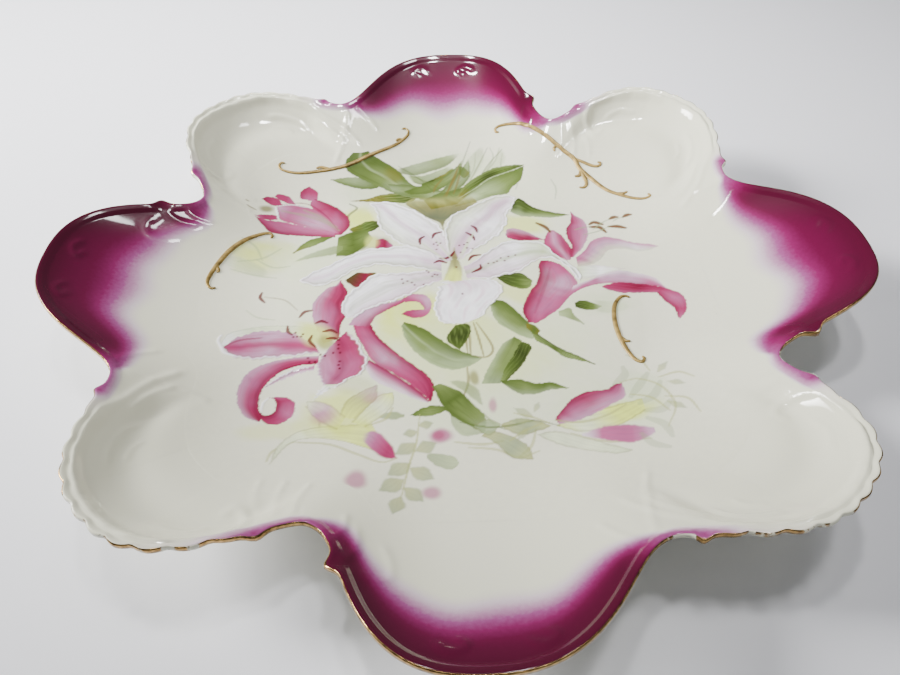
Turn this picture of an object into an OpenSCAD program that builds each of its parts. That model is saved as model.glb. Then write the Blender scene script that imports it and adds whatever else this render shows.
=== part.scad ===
// Porcelain serving bowl: a shallow eight-lobed dish on a foot ring, with
// coloured grounds, a lily transfer, raised gold scrolls and a gilt rim.
// Millimetres, +Z up, standing on z = 0 with its axis on the origin.

/* [Overall size] */

// Width from lobe tip to lobe tip
bowl_w = 265; // [200:1:330]
// Height from the table to the top of the lobe tips
bowl_h = 31; // [26:0.5:44]
// How far the rim sinks from the lobe tips to the deep notches
rim_dip = 9; // [3:0.5:12]

/* [Lobes] */

// Depth of the notch on one side of each coloured lobe
notch_deep = 31; // [22:0.5:38]
// Depth of the notch on its other side
notch_shallow = 22; // [14:0.5:28]
// Half the angle a coloured lobe takes up, in degrees
lobe_half = 24; // [21:0.5:27]
// Depth of the small scallops along the plain lobes
scallop_depth = 1; // [0.4:0.1:1.6]
// Height of the small curl beside each deep notch
curl_h = 2.6; // [0.6:0.1:3.2]

/* [Shell] */

// Radius of the flat floor
floor_r = 62; // [50:1:76]
// Thickness of the floor
floor_t = 3.6; // [2.6:0.1:5]
// Upright thickness of the wall next to the rim
rim_t = 2.9; // [2.4:0.1:3.4]
// How late the wall turns up: 1 is a straight cone
wall_curve = 1.7; // [1.2:0.1:2.4]

/* [Foot] */

// Height of the foot ring
foot_h = 4.5; // [3:0.1:7]
// Outside radius of the foot ring at the table
foot_r = 57; // [46:0.5:60]
// Width of the flat the foot ring stands on
foot_flat = 2.4; // [1.4:0.1:4]

/* [Decoration] */

// Thickness of the fired colour and of the transfer
paint_t = 0.3; // [0.2:0.05:0.5]
// Thickness of the gold on the rim
gold_t = 0.25; // [0.15:0.05:0.4]
// Half the width of a gold scroll at its middle
scroll_half_w = 1; // [0.7:0.05:1.4]
// Height of the raised gold scrolls
scroll_h = 0.7; // [0.5:0.05:1]

/* [Hidden] */

drawn_w = 265;              // width the scroll and transfer layouts are drawn at
k = bowl_w / drawn_w;
tip_r = bowl_w / 2;
top_floor_z = foot_h + floor_t;
quarter = 90;
plain_half = quarter / 2 - lobe_half;

// grid angles across a coloured lobe, closer together at its curl
lobe_a = [-24, -22, -20.4, -19.3, -18.5, -17.8, -17.1, -16.3, -15.2, -13.4, -11.4, -9.2, -6.9,
          -4.6, -2.3, 0, 2.4, 4.8, 7.2, 9.6, 12, 14.4, 16.8, 19.2, 21.6];
lobe_step = len(lobe_a);
drawn_half = 24;            // half angle the grid angles are drawn for
plain_step = 28;            // cells across a plain lobe, two to a scallop
quarter_n = lobe_step + plain_step;
ring_n = 4 * quarter_n;
cell = 2 * plain_half / plain_step;         // degrees
scallop_pitch = 2 * cell;
scallop_from = 5;           // degrees of plain lobe left smooth at either end
curl_at = 0.74;             // place of the curl, as a share of the lobe's half angle
nub_past_shallow = 2 * cell;                // degrees from a notch to the bump
nub_past_deep = 3 * cell;                   // that starts the plain lobe
curl_spread = 0.8;          // degrees

lip_e = [2.8, 1.3, 0.6, 0.2, 0, 0.6];       // lip, in from the outline
lip_z = [0, -0.42, 0, -0.35, -1.2, -2.4];   // and down from the crest
wall_in = [0, 0.14, 0.28, 0.42, 0.52, 0.62, 0.72, 0.81, 0.89, 0.95];
wall_out = [0.92, 0.8, 0.65, 0.5, 0.35, 0.2, 0];
transfer_rings = 3;         // rings of wall the transfer reaches over

white = [0.95, 0.95, 0.92];
magenta = [0.55, 0.1, 0.34];
gold = [0.83, 0.65, 0.3];
paste = [0.66, 0.47, 0.2];
petal = [0.9, 0.72, 0.8];

// ---- the outline ----

// Angle from the nearest coloured lobe's middle, -45 to 45.
function local(a) = (a + quarter / 2 + 4 * quarter) % quarter - quarter / 2;

// Side of a lobe: 1 at its tip, 0 in the notch, the two powers setting how
// round the tip is and how wide the notch.
function flank(u, tip, notch) = pow(1 - pow(min(1, max(0, u)), tip), notch);

// The scallops start and end smoothly inside the plain lobe.
function scallop_on(from_mid) =
    min(1, max(0, (plain_half - scallop_from - from_mid) / 2));

// Radius of the plain outline at angle a: notch radius plus a share of the lobe.
function plain_r(a) =
    let (l = local(a), deep_r = tip_r - notch_deep * k, shallow_r = tip_r - notch_shallow * k)
    l < -lobe_half ? deep_r + (tip_r - deep_r) * flank((l + quarter / 2) / plain_half, 2.8, 1.85) :
    l < 0 ? deep_r + (tip_r - deep_r) * flank(-l / lobe_half, 3, 2.6) :
    l < lobe_half ? shallow_r + (tip_r - shallow_r) * flank(l / lobe_half, 2.5, 2.2) :
    shallow_r + (tip_r - shallow_r) * flank((quarter / 2 - l) / plain_half, 2.2, 1.75);

// What the edge is cut back by: the scallops of a plain lobe, or less the curl of
// a coloured one. It fades to nothing where the lip starts.
function edge_cut(a) = let (l = local(a))
    abs(l) > lobe_half ? scallop(quarter / 2 - abs(l)) - nub(l) : -curl(l);

// Scallops are a raised cosine counted from the plain lobe's middle.
function scallop(m) =
    scallop_depth * (0.5 - 0.5 * cos(360 * m / scallop_pitch)) * scallop_on(m);

// The curl is a small bump in the rim beside the deep notch.
function curl(l) = curl_h * bump(l + curl_at * lobe_half);
// Smaller bumps start the plain lobes, the one past the shallow notch larger.
function nub(l) = curl_h * (0.75 * bump(l - lobe_half - nub_past_shallow)
                            + 0.6 * bump(l + lobe_half + nub_past_deep));
function bump(a) = exp(-pow(a / curl_spread, 2));

// The rim sinks with the depth of the notch, to the power one and a half.
function rim_z(r) = bowl_h - rim_dip * pow(min(1.3, max(0, (tip_r - r) / (notch_deep * k))), 1.5);

// Height of the inside surface at a point: flat floor, then a rising curve
// that meets the rim in every direction.
function top_z(p) =
    let (a = atan2(p[1], p[0]), r = norm([p[0], p[1]]), rim = plain_r(a))
    top_floor_z + (rim_z(rim) - top_floor_z)
        * pow(min(1, max(0, (r - floor_r) / (rim - floor_r))), wall_curve);

// Angles of the grid: fine in the plain lobes, where the scallops are.
function grid_a(i) =
    let (j = i % quarter_n, q = floor(i / quarter_n))
    q * quarter + (j < lobe_step ? lobe_a[j] * lobe_half / drawn_half
                                 : lobe_half + 2 * plain_half * (j - lobe_step) / plain_step);

function polar(r, a) = [r * cos(a), r * sin(a)];
function rim_xy(a) = polar(plain_r(a), a);
step_a = 0.5;               // degrees either side for the outline's direction
function rim_normal(a) =
    let (d = rim_xy(a + step_a) - rim_xy(a - step_a), n = [d[1], -d[0]]) n / norm(n);
function with_z(p, z) = [p[0], p[1], z];

angles = [for (i = [0 : ring_n - 1]) grid_a(i)];
rims = [for (a = angles) rim_xy(a)];
normals = [for (a = angles) rim_normal(a)];
crests = [for (a = angles) rim_z(plain_r(a))];
cuts = [for (i = [0 : ring_n - 1]) edge_cut(angles[i]) * normals[i]];
lip_start = [for (i = [0 : ring_n - 1]) rims[i] - lip_e[0] * normals[i]];
floor_xy = [for (a = angles) polar(floor_r, a)];

// Ring of the inside surface, v running from the floor's edge to the lip.
function wall_ring(v) = [for (i = [0 : ring_n - 1])
    let (p = floor_xy[i] * (1 - v) + lip_start[i] * v) with_z(p, top_z(p))];
function lip_ring(j) = [for (i = [0 : ring_n - 1])
    let (p = rims[i] - lip_e[j] * normals[i] - cuts[i] * max(0, 1 - lip_e[j] / lip_e[0]))
    with_z(p, j == 0 ? top_z(p) : crests[i] + lip_z[j])];
// The underside is the inside surface moved down by a thickness that eases
// from the floor's to the rim's.
function under_ring(v) = [for (i = [0 : ring_n - 1])
    let (p = floor_xy[i] * (1 - v) + lip_start[i] * v)
    with_z(p, top_z(p) - floor_t * (1 - v) - rim_t * v)];
function lifted(ring, d) = [for (p = ring) p + [0, 0, d]];

inside = [each [for (v = wall_in) wall_ring(v)], lip_ring(0)];

// ---- faces of ring-by-ring solids ----

function flat_list(rings) = [for (r = rings) each r];
// Quads between ring j and ring j + 1, split the same way everywhere.
function band(a, b, n) = [for (i = [0 : n - 1])
    let (i2 = (i + 1) % n) each [[a + i, b + i, b + i2], [a + i, b + i2, a + i2]]];
function fan(c, a, n, up) = [for (i = [0 : n - 1])
    let (i2 = (i + 1) % n) up ? [c, a + i2, a + i] : [c, a + i, a + i2]];

// A skin of thickness t on the cells of the inside surface that keep(i, j)
// picks: cell j = 0 is the flat middle, cell j reaches from ring j-1 to ring j.
module skin(picked, t) {
    rings = len(inside);
    low = [[0, 0, top_floor_z], each flat_list(inside)];
    all_n = len(low);
    points = [each low, each lifted(low, t)];
    id = function (i, j) j < 0 ? 0 : 1 + j * ring_n + (i + ring_n) % ring_n;
    has = function (i, j) j < 0 || j >= rings ? false : picked[j][(i + ring_n) % ring_n];
    wall = function (a, b) [[a, b, b + all_n], [a, b + all_n, a + all_n]];
    faces = [for (j = [0 : rings - 1]) for (i = [0 : ring_n - 1]) if (has(i, j))
        let (a = id(i, j - 1), b = id(i, j), c = id(i + 1, j), d = id(i + 1, j - 1))
        each [
            each j == 0 ? [[0, b, c], [all_n, all_n + c, all_n + b]]
                 : [[a, b, c], [a, c, d], [all_n + a, all_n + c, all_n + b],
                    [all_n + a, all_n + d, all_n + c]],
            each has(i, j + 1) ? [] : wall(c, b),
            each j == 0 || has(i, j - 1) ? [] : wall(a, d),
            each has(i - 1, j) ? [] : wall(b, a),
            each has(i + 1, j) ? [] : wall(d, c)
        ]];
    polyhedron(points = points, faces = faces, convexity = 8);
}

// ---- the pieces ----

module bowl_body() {
    rings = [each inside, each [for (j = [1 : len(lip_e) - 1]) lip_ring(j)],
             each [for (v = wall_out) under_ring(v)]];
    n = len(rings);
    last = n * ring_n;
    color(white) polyhedron(
        points = [each flat_list(rings), [0, 0, top_floor_z], [0, 0, foot_h]],
        faces = [each fan(last, 0, ring_n, true),
                 each [for (j = [0 : n - 2]) each [for (f = band(j * ring_n, (j + 1) * ring_n, ring_n))
                     [f[0], f[2], f[1]]]],
                 each fan(last + 1, (n - 1) * ring_n, ring_n, false)],
        convexity = 10);
}

module foot_ring() {
    lean = 1.4;             // each side leans in by this much towards the table
    round_r = 0.8;
    outer = foot_r;
    inner = foot_r - foot_flat - 2 * round_r;
    color(white) rotate_extrude($fn = 96) polygon([
        [inner - lean, foot_h],
        [inner, round_r],
        each [for (a = [22.5 : 22.5 : 90]) [inner + round_r * (1 - cos(a)), round_r * (1 - sin(a))]],
        each [for (a = [90 : -22.5 : 22.5]) [outer - round_r * (1 - cos(a)), round_r * (1 - sin(a))]],
        [outer, round_r],
        [outer + lean, foot_h]]);
}

// The gold lies on the three crest rings of the lip and bulges outward.
module rim_gilding() {
    low = [for (j = [1 : 3]) lip_ring(j)];
    push = [0, 0, gold_t * 0.7];        // sideways share at each ring
    lift = [gold_t, gold_t, gold_t * 0.7];
    high = [for (j = [0 : 2]) [for (i = [0 : ring_n - 1])
        low[j][i] + [normals[i][0] * push[j], normals[i][1] * push[j], lift[j]]]];
    order = [each low, high[2], high[1], high[0]];
    color(gold) polyhedron(
        points = flat_list(order),
        faces = [for (j = [0 : 5]) each band(j * ring_n, (j + 1) % 6 * ring_n, ring_n)],
        convexity = 10);
}

// One coloured ground: a lobe and a little past its notches, from part way up
// the wall to the lip. Cell j of the skin ends at ring j.
module ground(turn) {
    spill = 3;              // degrees past each notch
    from_mid = function (i)
        abs((angles[i] + angles[(i + 1) % ring_n] + (i == ring_n - 1 ? 360 : 0)) / 2
            - turn - (angles[i] > turn + 180 ? 360 : 0));
    picked = [for (j = [0 : len(inside) - 1]) [for (i = [0 : ring_n - 1])
        j > transfer_rings + 1 && from_mid(i) < lobe_half + spill]];
    color(magenta) skin(picked, paint_t);
}

// The transfer covers the flat floor and the start of the wall.
module lily_transfer() {
    picked = [for (j = [0 : len(inside) - 1]) [for (i = [0 : ring_n - 1]) j <= transfer_rings]];
    color(petal) skin(picked, paint_t);
}

// ---- the gold scrolls ----

// Smooth curve through the points, n steps between neighbours.
function spline(p, n) = let (m = len(p)) [
    for (i = [0 : m - 2]) for (s = [0 : n - 1])
        let (t = s / n, a = p[max(0, i - 1)], b = p[i], c = p[i + 1], d = p[min(m - 1, i + 2)])
        0.5 * (2 * b + (c - a) * t + (2 * a - 5 * b + 4 * c - d) * t * t
               + (3 * b - a - 3 * c + d) * t * t * t),
    p[m - 1]];

// Raised cord along a path on the surface: flat underneath, arched on top,
// sunk a little into the glaze and thinner towards its ends.
module cord(path, half_w, h, sink) {
    q = spline(path, 3);
    m = len(q);
    arch = [for (a = [0 : 45 : 180]) [cos(a), sin(a)]];
    sides = len(arch) + 2;
    pts = [for (i = [0 : m - 1])
        let (d = q[min(m - 1, i + 1)] - q[max(0, i - 1)], n = [-d[1], d[0]] / norm(d),
             s = i / (m - 1), w = half_w * (0.55 + 0.45 * sin(180 * s)), z = top_z(q[i]))
        each [each [for (c = arch) with_z(q[i] + n * c[0] * w, z + h * c[1] * (0.6 + 0.4 * sin(180 * s)))],
              with_z(q[i] - n * w, z - sink), with_z(q[i] + n * w, z - sink)]];
    polyhedron(points = pts, faces = [
        [for (j = [0 : sides - 1]) j],
        [for (j = [sides - 1 : -1 : 0]) (m - 1) * sides + j],
        each [for (i = [0 : m - 2]) each [for (j = [0 : sides - 1])
            let (a = i * sides + j, b = i * sides + (j + 1) % sides)
            each [[a, a + sides, b + sides], [a, b + sides, b]]]]],
        convexity = 6);
}

module scroll(main, spurs) {
    sunk = 0.35;
    color(paste) union() {
        cord(main * k, scroll_half_w, scroll_h, sunk);
        for (s = spurs) cord(s * k, scroll_half_w * 0.8, scroll_h * 0.85, sunk + 0.08);
    }
}

module scroll_back_left() {
    scroll([[-68, 71.5], [-69.5, 69.5], [-68, 67.5], [-62, 68], [-54, 70.5], [-46, 73],
            [-38, 76], [-30, 79.5], [-23, 84], [-18.5, 89.5], [-18, 94], [-20.5, 95.5]],
           [[[-50, 71.8], [-53, 73], [-54.5, 72.5]], [[-19.5, 88], [-22, 90.5], [-24, 90]]]);
}

module scroll_back_right() {
    scroll([[19, 93], [20, 95.5], [26, 95], [33, 91], [40, 85.5], [46, 79], [50, 72],
            [53, 65.5], [58, 58.5], [64, 52.5], [70, 49], [75, 48.5]],
           [[[42, 83.2], [42.5, 80], [41, 78.5]], [[47, 77], [53, 72], [60, 70]],
            [[52, 68], [52.5, 63], [50.5, 60]], [[63, 53.5], [66.5, 54], [68, 53]]]);
}

module scroll_left() {
    scroll([[-69, 33], [-74, 31.5], [-79, 26.5], [-83, 20], [-86, 12], [-87, 6],
            [-85.5, 3.5], [-83.5, 4.5]],
           [[[-85.5, 13], [-83.5, 12.5], [-82.5, 14]]]);
}

module scroll_right() {
    scroll([[58, -1], [54, -3], [51.5, -9], [51, -16], [52.5, -24], [56.5, -30.5]],
           [[[51, -18], [53, -21], [55.5, -22.5]]]);
}

bowl_body();
foot_ring();
rim_gilding();
ground(0);  // ground_right
ground(90);  // ground_back
ground(180);  // ground_left
ground(270);  // ground_front
lily_transfer();
scroll_back_left();
scroll_back_right();
scroll_left();
scroll_right();
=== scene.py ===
# Porcelain serving bowl: what it looks like. Drawn in millimetres, made in metres.
import math
import bpy
import numpy as np
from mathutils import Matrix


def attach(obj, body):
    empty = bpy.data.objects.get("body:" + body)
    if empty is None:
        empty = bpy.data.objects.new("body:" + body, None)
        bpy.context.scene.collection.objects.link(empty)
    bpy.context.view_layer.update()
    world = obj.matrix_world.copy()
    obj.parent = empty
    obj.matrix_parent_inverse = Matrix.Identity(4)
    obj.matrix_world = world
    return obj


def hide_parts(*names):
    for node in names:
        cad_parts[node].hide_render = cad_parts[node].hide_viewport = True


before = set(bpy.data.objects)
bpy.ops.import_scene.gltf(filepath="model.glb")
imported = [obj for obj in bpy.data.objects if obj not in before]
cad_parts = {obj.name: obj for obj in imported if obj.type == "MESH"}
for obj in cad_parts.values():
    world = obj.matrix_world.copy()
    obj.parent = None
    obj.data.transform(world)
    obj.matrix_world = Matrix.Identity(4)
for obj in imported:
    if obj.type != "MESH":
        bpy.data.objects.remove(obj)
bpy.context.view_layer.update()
print("frame loaded")

mm = 0.001
rng = np.random.default_rng(8)

# Change these to change the bowl. They match the CAD, but for curlSpread and the nub values, which place the
# small bumps of the rim a little more exactly.
bowl = {
    "width": 265.0, "height": 31.0, "rimDip": 9.0,
    "notchDeep": 31.0, "notchShallow": 22.0, "lobeHalf": 24.0,
    "scallopDepth": 1.0, "scallopPitch": 3.0, "scallopFrom": 5.0,
    "curlHeight": 2.6, "curlAt": 0.74, "curlSpread": 0.75,
    "nubPast": 3.6, "nubFurther": 1.0, "nubLarge": 0.7, "nubSmall": 0.6,
    "floorRadius": 62.0, "floorThick": 3.6, "rimThick": 2.9, "wallCurve": 1.7,
    "footHeight": 4.5, "footRadius": 57.0, "footFlat": 2.4,
}
tipRadius = bowl["width"] / 2
plainHalf = 45 - bowl["lobeHalf"]
floorZ = bowl["footHeight"] + bowl["floorThick"]


def smoothStep(x):
    # 0 below 0, 1 above 1, and three x squared less two x cubed between
    x = np.clip(x, 0, 1)
    return x * x * (3 - 2 * x)


def flank(u, tip, notch):
    # 1 at a lobe's tip, 0 in its notch
    return (1 - np.clip(u, 0, 1) ** tip) ** notch


def scallop(fromMiddle):
    # round bumps with sharp valleys, fading out before the notch
    on = np.clip((plainHalf - bowl["scallopFrom"] - fromMiddle) / 2, 0, 1)
    wave = 1 - np.abs(np.cos(np.pi * fromMiddle / bowl["scallopPitch"]))
    return bowl["scallopDepth"] * wave * on


def plainRadius(degrees):
    # radius of the rim: the notch radius plus a share of the lobe, for four kinds of flank
    turned = (np.asarray(degrees, float) + 45) % 90 - 45
    half = bowl["lobeHalf"]
    deep = tipRadius - bowl["notchDeep"]
    shallow = tipRadius - bowl["notchShallow"]
    fromPlain = 45 - np.abs(turned)
    plainCurve = np.where(turned < 0,
                          deep + (tipRadius - deep) * flank(fromPlain / plainHalf, 2.8, 1.85),
                          shallow + (tipRadius - shallow) * flank(fromPlain / plainHalf, 2.2, 1.75))
    lobeCurve = np.where(turned < 0,
                         deep + (tipRadius - deep) * flank(-turned / half, 3.0, 2.6),
                         shallow + (tipRadius - shallow) * flank(turned / half, 2.5, 2.2))
    return np.where(np.abs(turned) > half, plainCurve, lobeCurve)


def bump(degrees):
    # a small round bump about nought
    return bowl["curlHeight"] * np.exp(-(degrees / bowl["curlSpread"]) ** 2)


def edgeCut(degrees):
    # what the plain outline loses at its edge: the scallops, less the curl and the two smaller nubs
    turned = (np.asarray(degrees, float) + 45) % 90 - 45
    half, past = bowl["lobeHalf"], bowl["nubPast"]
    scallops = np.where(np.abs(turned) > half, scallop(45 - np.abs(turned)), 0)
    large = bowl["nubLarge"] * bump(turned - half - past)
    small = bowl["nubSmall"] * bump(turned + half + past + bowl["nubFurther"])
    return scallops - bump(turned + bowl["curlAt"] * half) - (large + small)


def rimHeight(radius):
    # the rim sinks with the depth of the notch, to the power one and a half
    sunk = np.clip((tipRadius - radius) / bowl["notchDeep"], 0, 1.3)
    return bowl["height"] - bowl["rimDip"] * sunk ** 1.5


def smoothLine(points, count):
    # a curve through the points, each stretch a cubic set by its neighbours, in equal steps along it
    p = np.asarray(points, float)
    before = np.vstack([2 * p[0] - p[1], p[:-2]])
    after = np.vstack([p[2:], 2 * p[-1] - p[-2]])
    a, b = p[:-1][:, None], p[1:][:, None]
    t = np.linspace(0, 1, 12, endpoint=False)[None, :, None]
    slopeA = (b - before[:, None]) / 2
    slopeB = (after[:, None] - a) / 2
    curve = (a * (1 - 3 * t ** 2 + 2 * t ** 3) + b * (3 * t ** 2 - 2 * t ** 3)
             + slopeA * (t - 2 * t ** 2 + t ** 3) + slopeB * (t ** 3 - t ** 2))
    curve = np.vstack([curve.reshape(-1, p.shape[1]), p[-1]])
    along = np.concatenate([[0], np.cumsum(np.linalg.norm(np.diff(curve, axis=0), axis=1))])
    want = np.linspace(0, along[-1], count)
    return np.stack([np.interp(want, along, curve[:, i]) for i in range(p.shape[1])], axis=1)


# Moulded relief of one quarter, the same in all four. Each ridge is a line of (degrees, radius) with a
# height and a width; degrees run from the deep notch at -24, past a coloured lobe, to the next at 66.
relief = [
    # the raised C inside the plain lobe's border, ending in a small curl
    {"line": [(29.5, 110), (30.5, 114), (32.5, 119.5), (36, 124.5), (41, 127.6), (46, 128.6), (51, 127),
              (55.3, 122.5), (58, 116), (58.8, 110), (57.2, 105.5), (55, 104.8), (54.6, 107.5)],
     "height": 0.85, "width": 1.3},
    # shorter lines inside it
    {"line": [(33.2, 107.5), (34.2, 112.5), (36.6, 117.5), (39, 120.5)], "height": 0.45, "width": 0.8},
    {"line": [(36.5, 109), (37.3, 113), (39, 116)], "height": 0.3, "width": 0.7},
    {"line": [(55.3, 113), (53.6, 118), (50.5, 121)], "height": 0.35, "width": 0.8},
    # two long lines running in along the plain lobe's near side
    {"line": [(29.8, 110), (26.5, 101.5), (24, 92)], "height": 0.4, "width": 1.2},
    {"line": [(31.6, 109.5), (28.8, 102), (27.6, 95)], "height": 0.3, "width": 1.0},
    # the crease that runs in from the shallow notch
    {"line": [(23.2, 108), (25.2, 102), (28.5, 94.5), (33, 88)], "height": 0.3, "width": 1.1},
    {"line": [(21.5, 109), (19.5, 103), (18.3, 97)], "height": 0.25, "width": 1.0},
    # shell work inside the deep notch
    {"line": [(63.2, 101), (61.5, 95), (60.5, 87)], "height": 0.22, "width": 1.0},
    {"line": [(61.3, 103.5), (58.5, 97), (56.5, 89.5)], "height": 0.2, "width": 1.0},
    {"line": [(59.4, 105), (55.6, 99.5), (53, 93)], "height": 0.15, "width": 1.0},
    # small waves on the coloured lobe, running in beside its curl
    {"line": [(-20.6, 105), (-19, 108), (-16.8, 107), (-16.4, 102), (-18, 96)], "height": 0.26,
     "width": 1.1},
    {"line": [(-21.8, 102), (-20, 103), (-19.2, 99), (-20.4, 93)], "height": 0.26, "width": 1.0},
    {"line": [(-15.2, 109), (-12.8, 111), (-11, 109), (-11.6, 104), (-13.6, 99)], "height": 0.2,
     "width": 1.2},
    {"line": [(-5.2, 124.5), (-3.4, 126.5), (-1.8, 124.8), (-3.2, 123)], "height": 0.4, "width": 0.9},
    {"line": [(3.8, 124), (5.6, 126), (7.2, 124), (5.8, 122.6)], "height": 0.3, "width": 0.9},
]
border = {"shelf": 0.8, "hollow": 2.1, "hollowAt": 8.5, "hollowWidth": 7.0, "flute": 0.12}


def polarPoint(degrees, radius):
    # the point at an angle and a distance from the axis
    a = np.radians(degrees)
    return np.stack([radius * np.cos(a), radius * np.sin(a)], axis=-1)


def inQuarter(x, y):
    # a point turned into the first quarter, from the deep notch round to the next
    turned = (np.degrees(np.arctan2(y, x)) + 24) % 90 - 24
    return turned, np.hypot(x, y)


def distanceTo(points, line, reach):
    # distance from each point to the nearest of a line's samples, and that sample's place along it
    low, high = line.min(axis=0) - reach, line.max(axis=0) + reach
    near = np.flatnonzero(((points > low) & (points < high)).all(axis=1))
    gap = np.full(len(points), 1e3)
    place = np.zeros(len(points))
    if len(near):
        apart = ((points[near][:, None] - line[None]) ** 2).sum(axis=2)
        best = apart.argmin(axis=1)
        gap[near] = np.sqrt(apart[np.arange(len(near)), best])
        place[near] = best / (len(line) - 1)
    return gap, place


def reliefHeight(x, y):
    # ridges are bell shaped across and fade towards their ends; the border is a shelf with small flutes
    shape = np.shape(x)
    turned, r = inQuarter(np.ravel(x), np.ravel(y))
    points = polarPoint(turned, r)
    total = np.zeros(len(r))
    for ridge in relief:
        line = smoothLine(polarPoint(*np.array(ridge["line"], float).T), 90)
        gap, place = distanceTo(points, line, 4 * ridge["width"])
        fade = smoothStep(place / 0.15) * smoothStep((1 - place) / 0.12) * 0.75 + 0.25
        total += ridge["height"] * fade * np.exp(-(gap / ridge["width"]) ** 2)
    fromMiddle = np.abs(turned - 45)
    on = smoothStep((16 - fromMiddle) / 4)
    shelfEdge = 128.6 - 0.085 * fromMiddle ** 2
    outside = smoothStep((r - shelfEdge + 1) / 2.5)
    inside = np.exp(-((r - shelfEdge + border["hollowAt"]) / border["hollowWidth"]) ** 2)
    total += on * (border["shelf"] * outside - border["hollow"] * inside)
    flutes = np.cos(2 * np.pi * (turned - 45) / bowl["scallopPitch"])
    total += on * border["flute"] * flutes * smoothStep((r - shelfEdge + 3) / 5)
    rim = plainRadius(turned)
    return (total * smoothStep((rim - r - 0.6) / 2.2)).reshape(shape)


def surfaceZ(x, y, withRelief=True):
    # the flat floor, then a rising curve that meets the rim in every direction, and the relief on it
    r = np.hypot(x, y)
    rim = plainRadius(np.degrees(np.arctan2(y, x)))
    rise = np.clip((r - bowl["floorRadius"]) / (rim - bowl["floorRadius"]), 0, 1)
    z = floorZ + (rimHeight(rim) - floorZ) * rise ** bowl["wallCurve"]
    return z + reliefHeight(x, y) if withRelief else z


def linearColour(hexText):
    # an sRGB hex colour as linear light, by the sRGB curve
    value = np.array([int(hexText[i:i + 2], 16) / 255 for i in (1, 3, 5)])
    return np.where(value <= 0.04045, value / 12.92, ((value + 0.055) / 1.055) ** 2.4)


def makeMesh(name, points, faces, colours=None, smooth=True):
    # a mesh from point and face arrays in millimetres, with a paint colour at each point
    mesh = bpy.data.meshes.new(name)
    mesh.vertices.add(len(points))
    mesh.vertices.foreach_set("co", (np.asarray(points, float) * mm).astype(np.float32).ravel())
    faces = np.asarray(faces, np.int32)
    if faces.shape[1] == 4:
        flat = (faces[:, 0] == faces[:, 3]) | (faces[:, 2] == faces[:, 3])
    else:
        flat = np.zeros(len(faces), bool)
    sizes = np.where(flat, 3, faces.shape[1]).astype(np.int32)
    keep = np.ones(faces.shape, bool)
    if faces.shape[1] == 4:
        keep[:, 3] = ~flat
    loops = faces[keep]
    starts = np.concatenate([[0], np.cumsum(sizes)[:-1]]).astype(np.int32)
    mesh.loops.add(len(loops))
    mesh.loops.foreach_set("vertex_index", loops)
    mesh.polygons.add(len(faces))
    mesh.polygons.foreach_set("loop_start", starts)
    mesh.polygons.foreach_set("loop_total", sizes)
    mesh.polygons.foreach_set("use_smooth", np.full(len(faces), smooth))
    if colours is not None:
        layer = mesh.color_attributes.new("paint", "FLOAT_COLOR", "POINT")
        rgba = np.concatenate([colours, np.ones((len(points), 1))], axis=1)
        layer.data.foreach_set("color", rgba.astype(np.float32).ravel())
    mesh.update()
    mesh.validate()
    piece = bpy.data.objects.new(name, mesh)
    bpy.context.scene.collection.objects.link(piece)
    return piece


def gridFaces(rows, cols, closed=False, start=0):
    # quads of a grid of rows by cols points, joined round if closed
    i = np.arange(rows - 1)[:, None]
    j = np.arange(cols if closed else cols - 1)[None, :]
    nextJ = (j + 1) % cols
    quads = np.stack([i * cols + j, i * cols + nextJ, (i + 1) * cols + nextJ, (i + 1) * cols + j], axis=-1)
    return quads.reshape(-1, 4) + start


def addNode(tree, kind, settings=None, links=None):
    # one shader node, with socket values or properties set, and inputs joined to other nodes' outputs
    node = tree.nodes.new("ShaderNode" + kind)
    for key, value in (settings or {}).items():
        if isinstance(key, str) and hasattr(node, key) and key not in node.inputs:
            setattr(node, key, value)
        else:
            node.inputs[key].default_value = value
    for key, source in (links or {}).items():
        tree.links.new(source, node.inputs[key])
    return node


def newMaterial(name):
    # an empty material with its output node
    material = bpy.data.materials.new(name)
    material.use_nodes = True
    tree = material.node_tree
    tree.nodes.clear()
    return material, tree, addNode(tree, "OutputMaterial")


def rgba(hexText):
    # a hex colour as linear red, green and blue, and full alpha
    return (*linearColour(hexText), 1.0)


def noiseOf(tree, place, scale, detail):
    # a wandering value from 0 to 1; a larger scale is finer
    return addNode(tree, "TexNoise", {"Scale": scale, "Detail": detail}, {"Vector": place}).outputs["Fac"]


# Porcelain shell
shell = {"porcelain": "#edecd4", "wallRings": 54, "around": 1080, "glazeRoughness": 0.04, "pits": 0.35,
         "clouds": ("#ecebd2", "#efeed8"), "speck": "#6d6a62", "floorCircles": (14.0, 26.0, 38.0, 50.0),
         "underShares": (0.97, 0.91, 0.82, 0.71, 0.59, 0.46, 0.32, 0.16, 0)}
lipIn = [2.8, 2.2, 1.7, 1.3, 0.9, 0.55, 0.25, 0.07, 0.0, 0.08, 0.35, 0.95]
lipDrop = [-1.4, -0.98, -0.68, -0.42, -0.18, -0.03, -0.12, -0.42, -0.95, -1.5, -2.1, -2.75]
around = np.arange(shell["around"]) * 360 / shell["around"]
outward = np.stack([np.cos(np.radians(around)), np.sin(np.radians(around))], axis=1)


def edgeNormal(degrees):
    # the level direction square to the plain outline
    step = 0.4
    ahead = plainRadius(degrees + step)[:, None] * polarPoint(degrees + step, 1)
    behind = plainRadius(degrees - step)[:, None] * polarPoint(degrees - step, 1)
    along = ahead - behind
    square = np.stack([along[:, 1], -along[:, 0]], axis=1)
    return square / np.linalg.norm(square, axis=1, keepdims=True)


plainRim = plainRadius(around)
normal = edgeNormal(around)
crest = rimHeight(plainRim)
cutBack = edgeCut(around)[:, None] * normal


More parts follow.
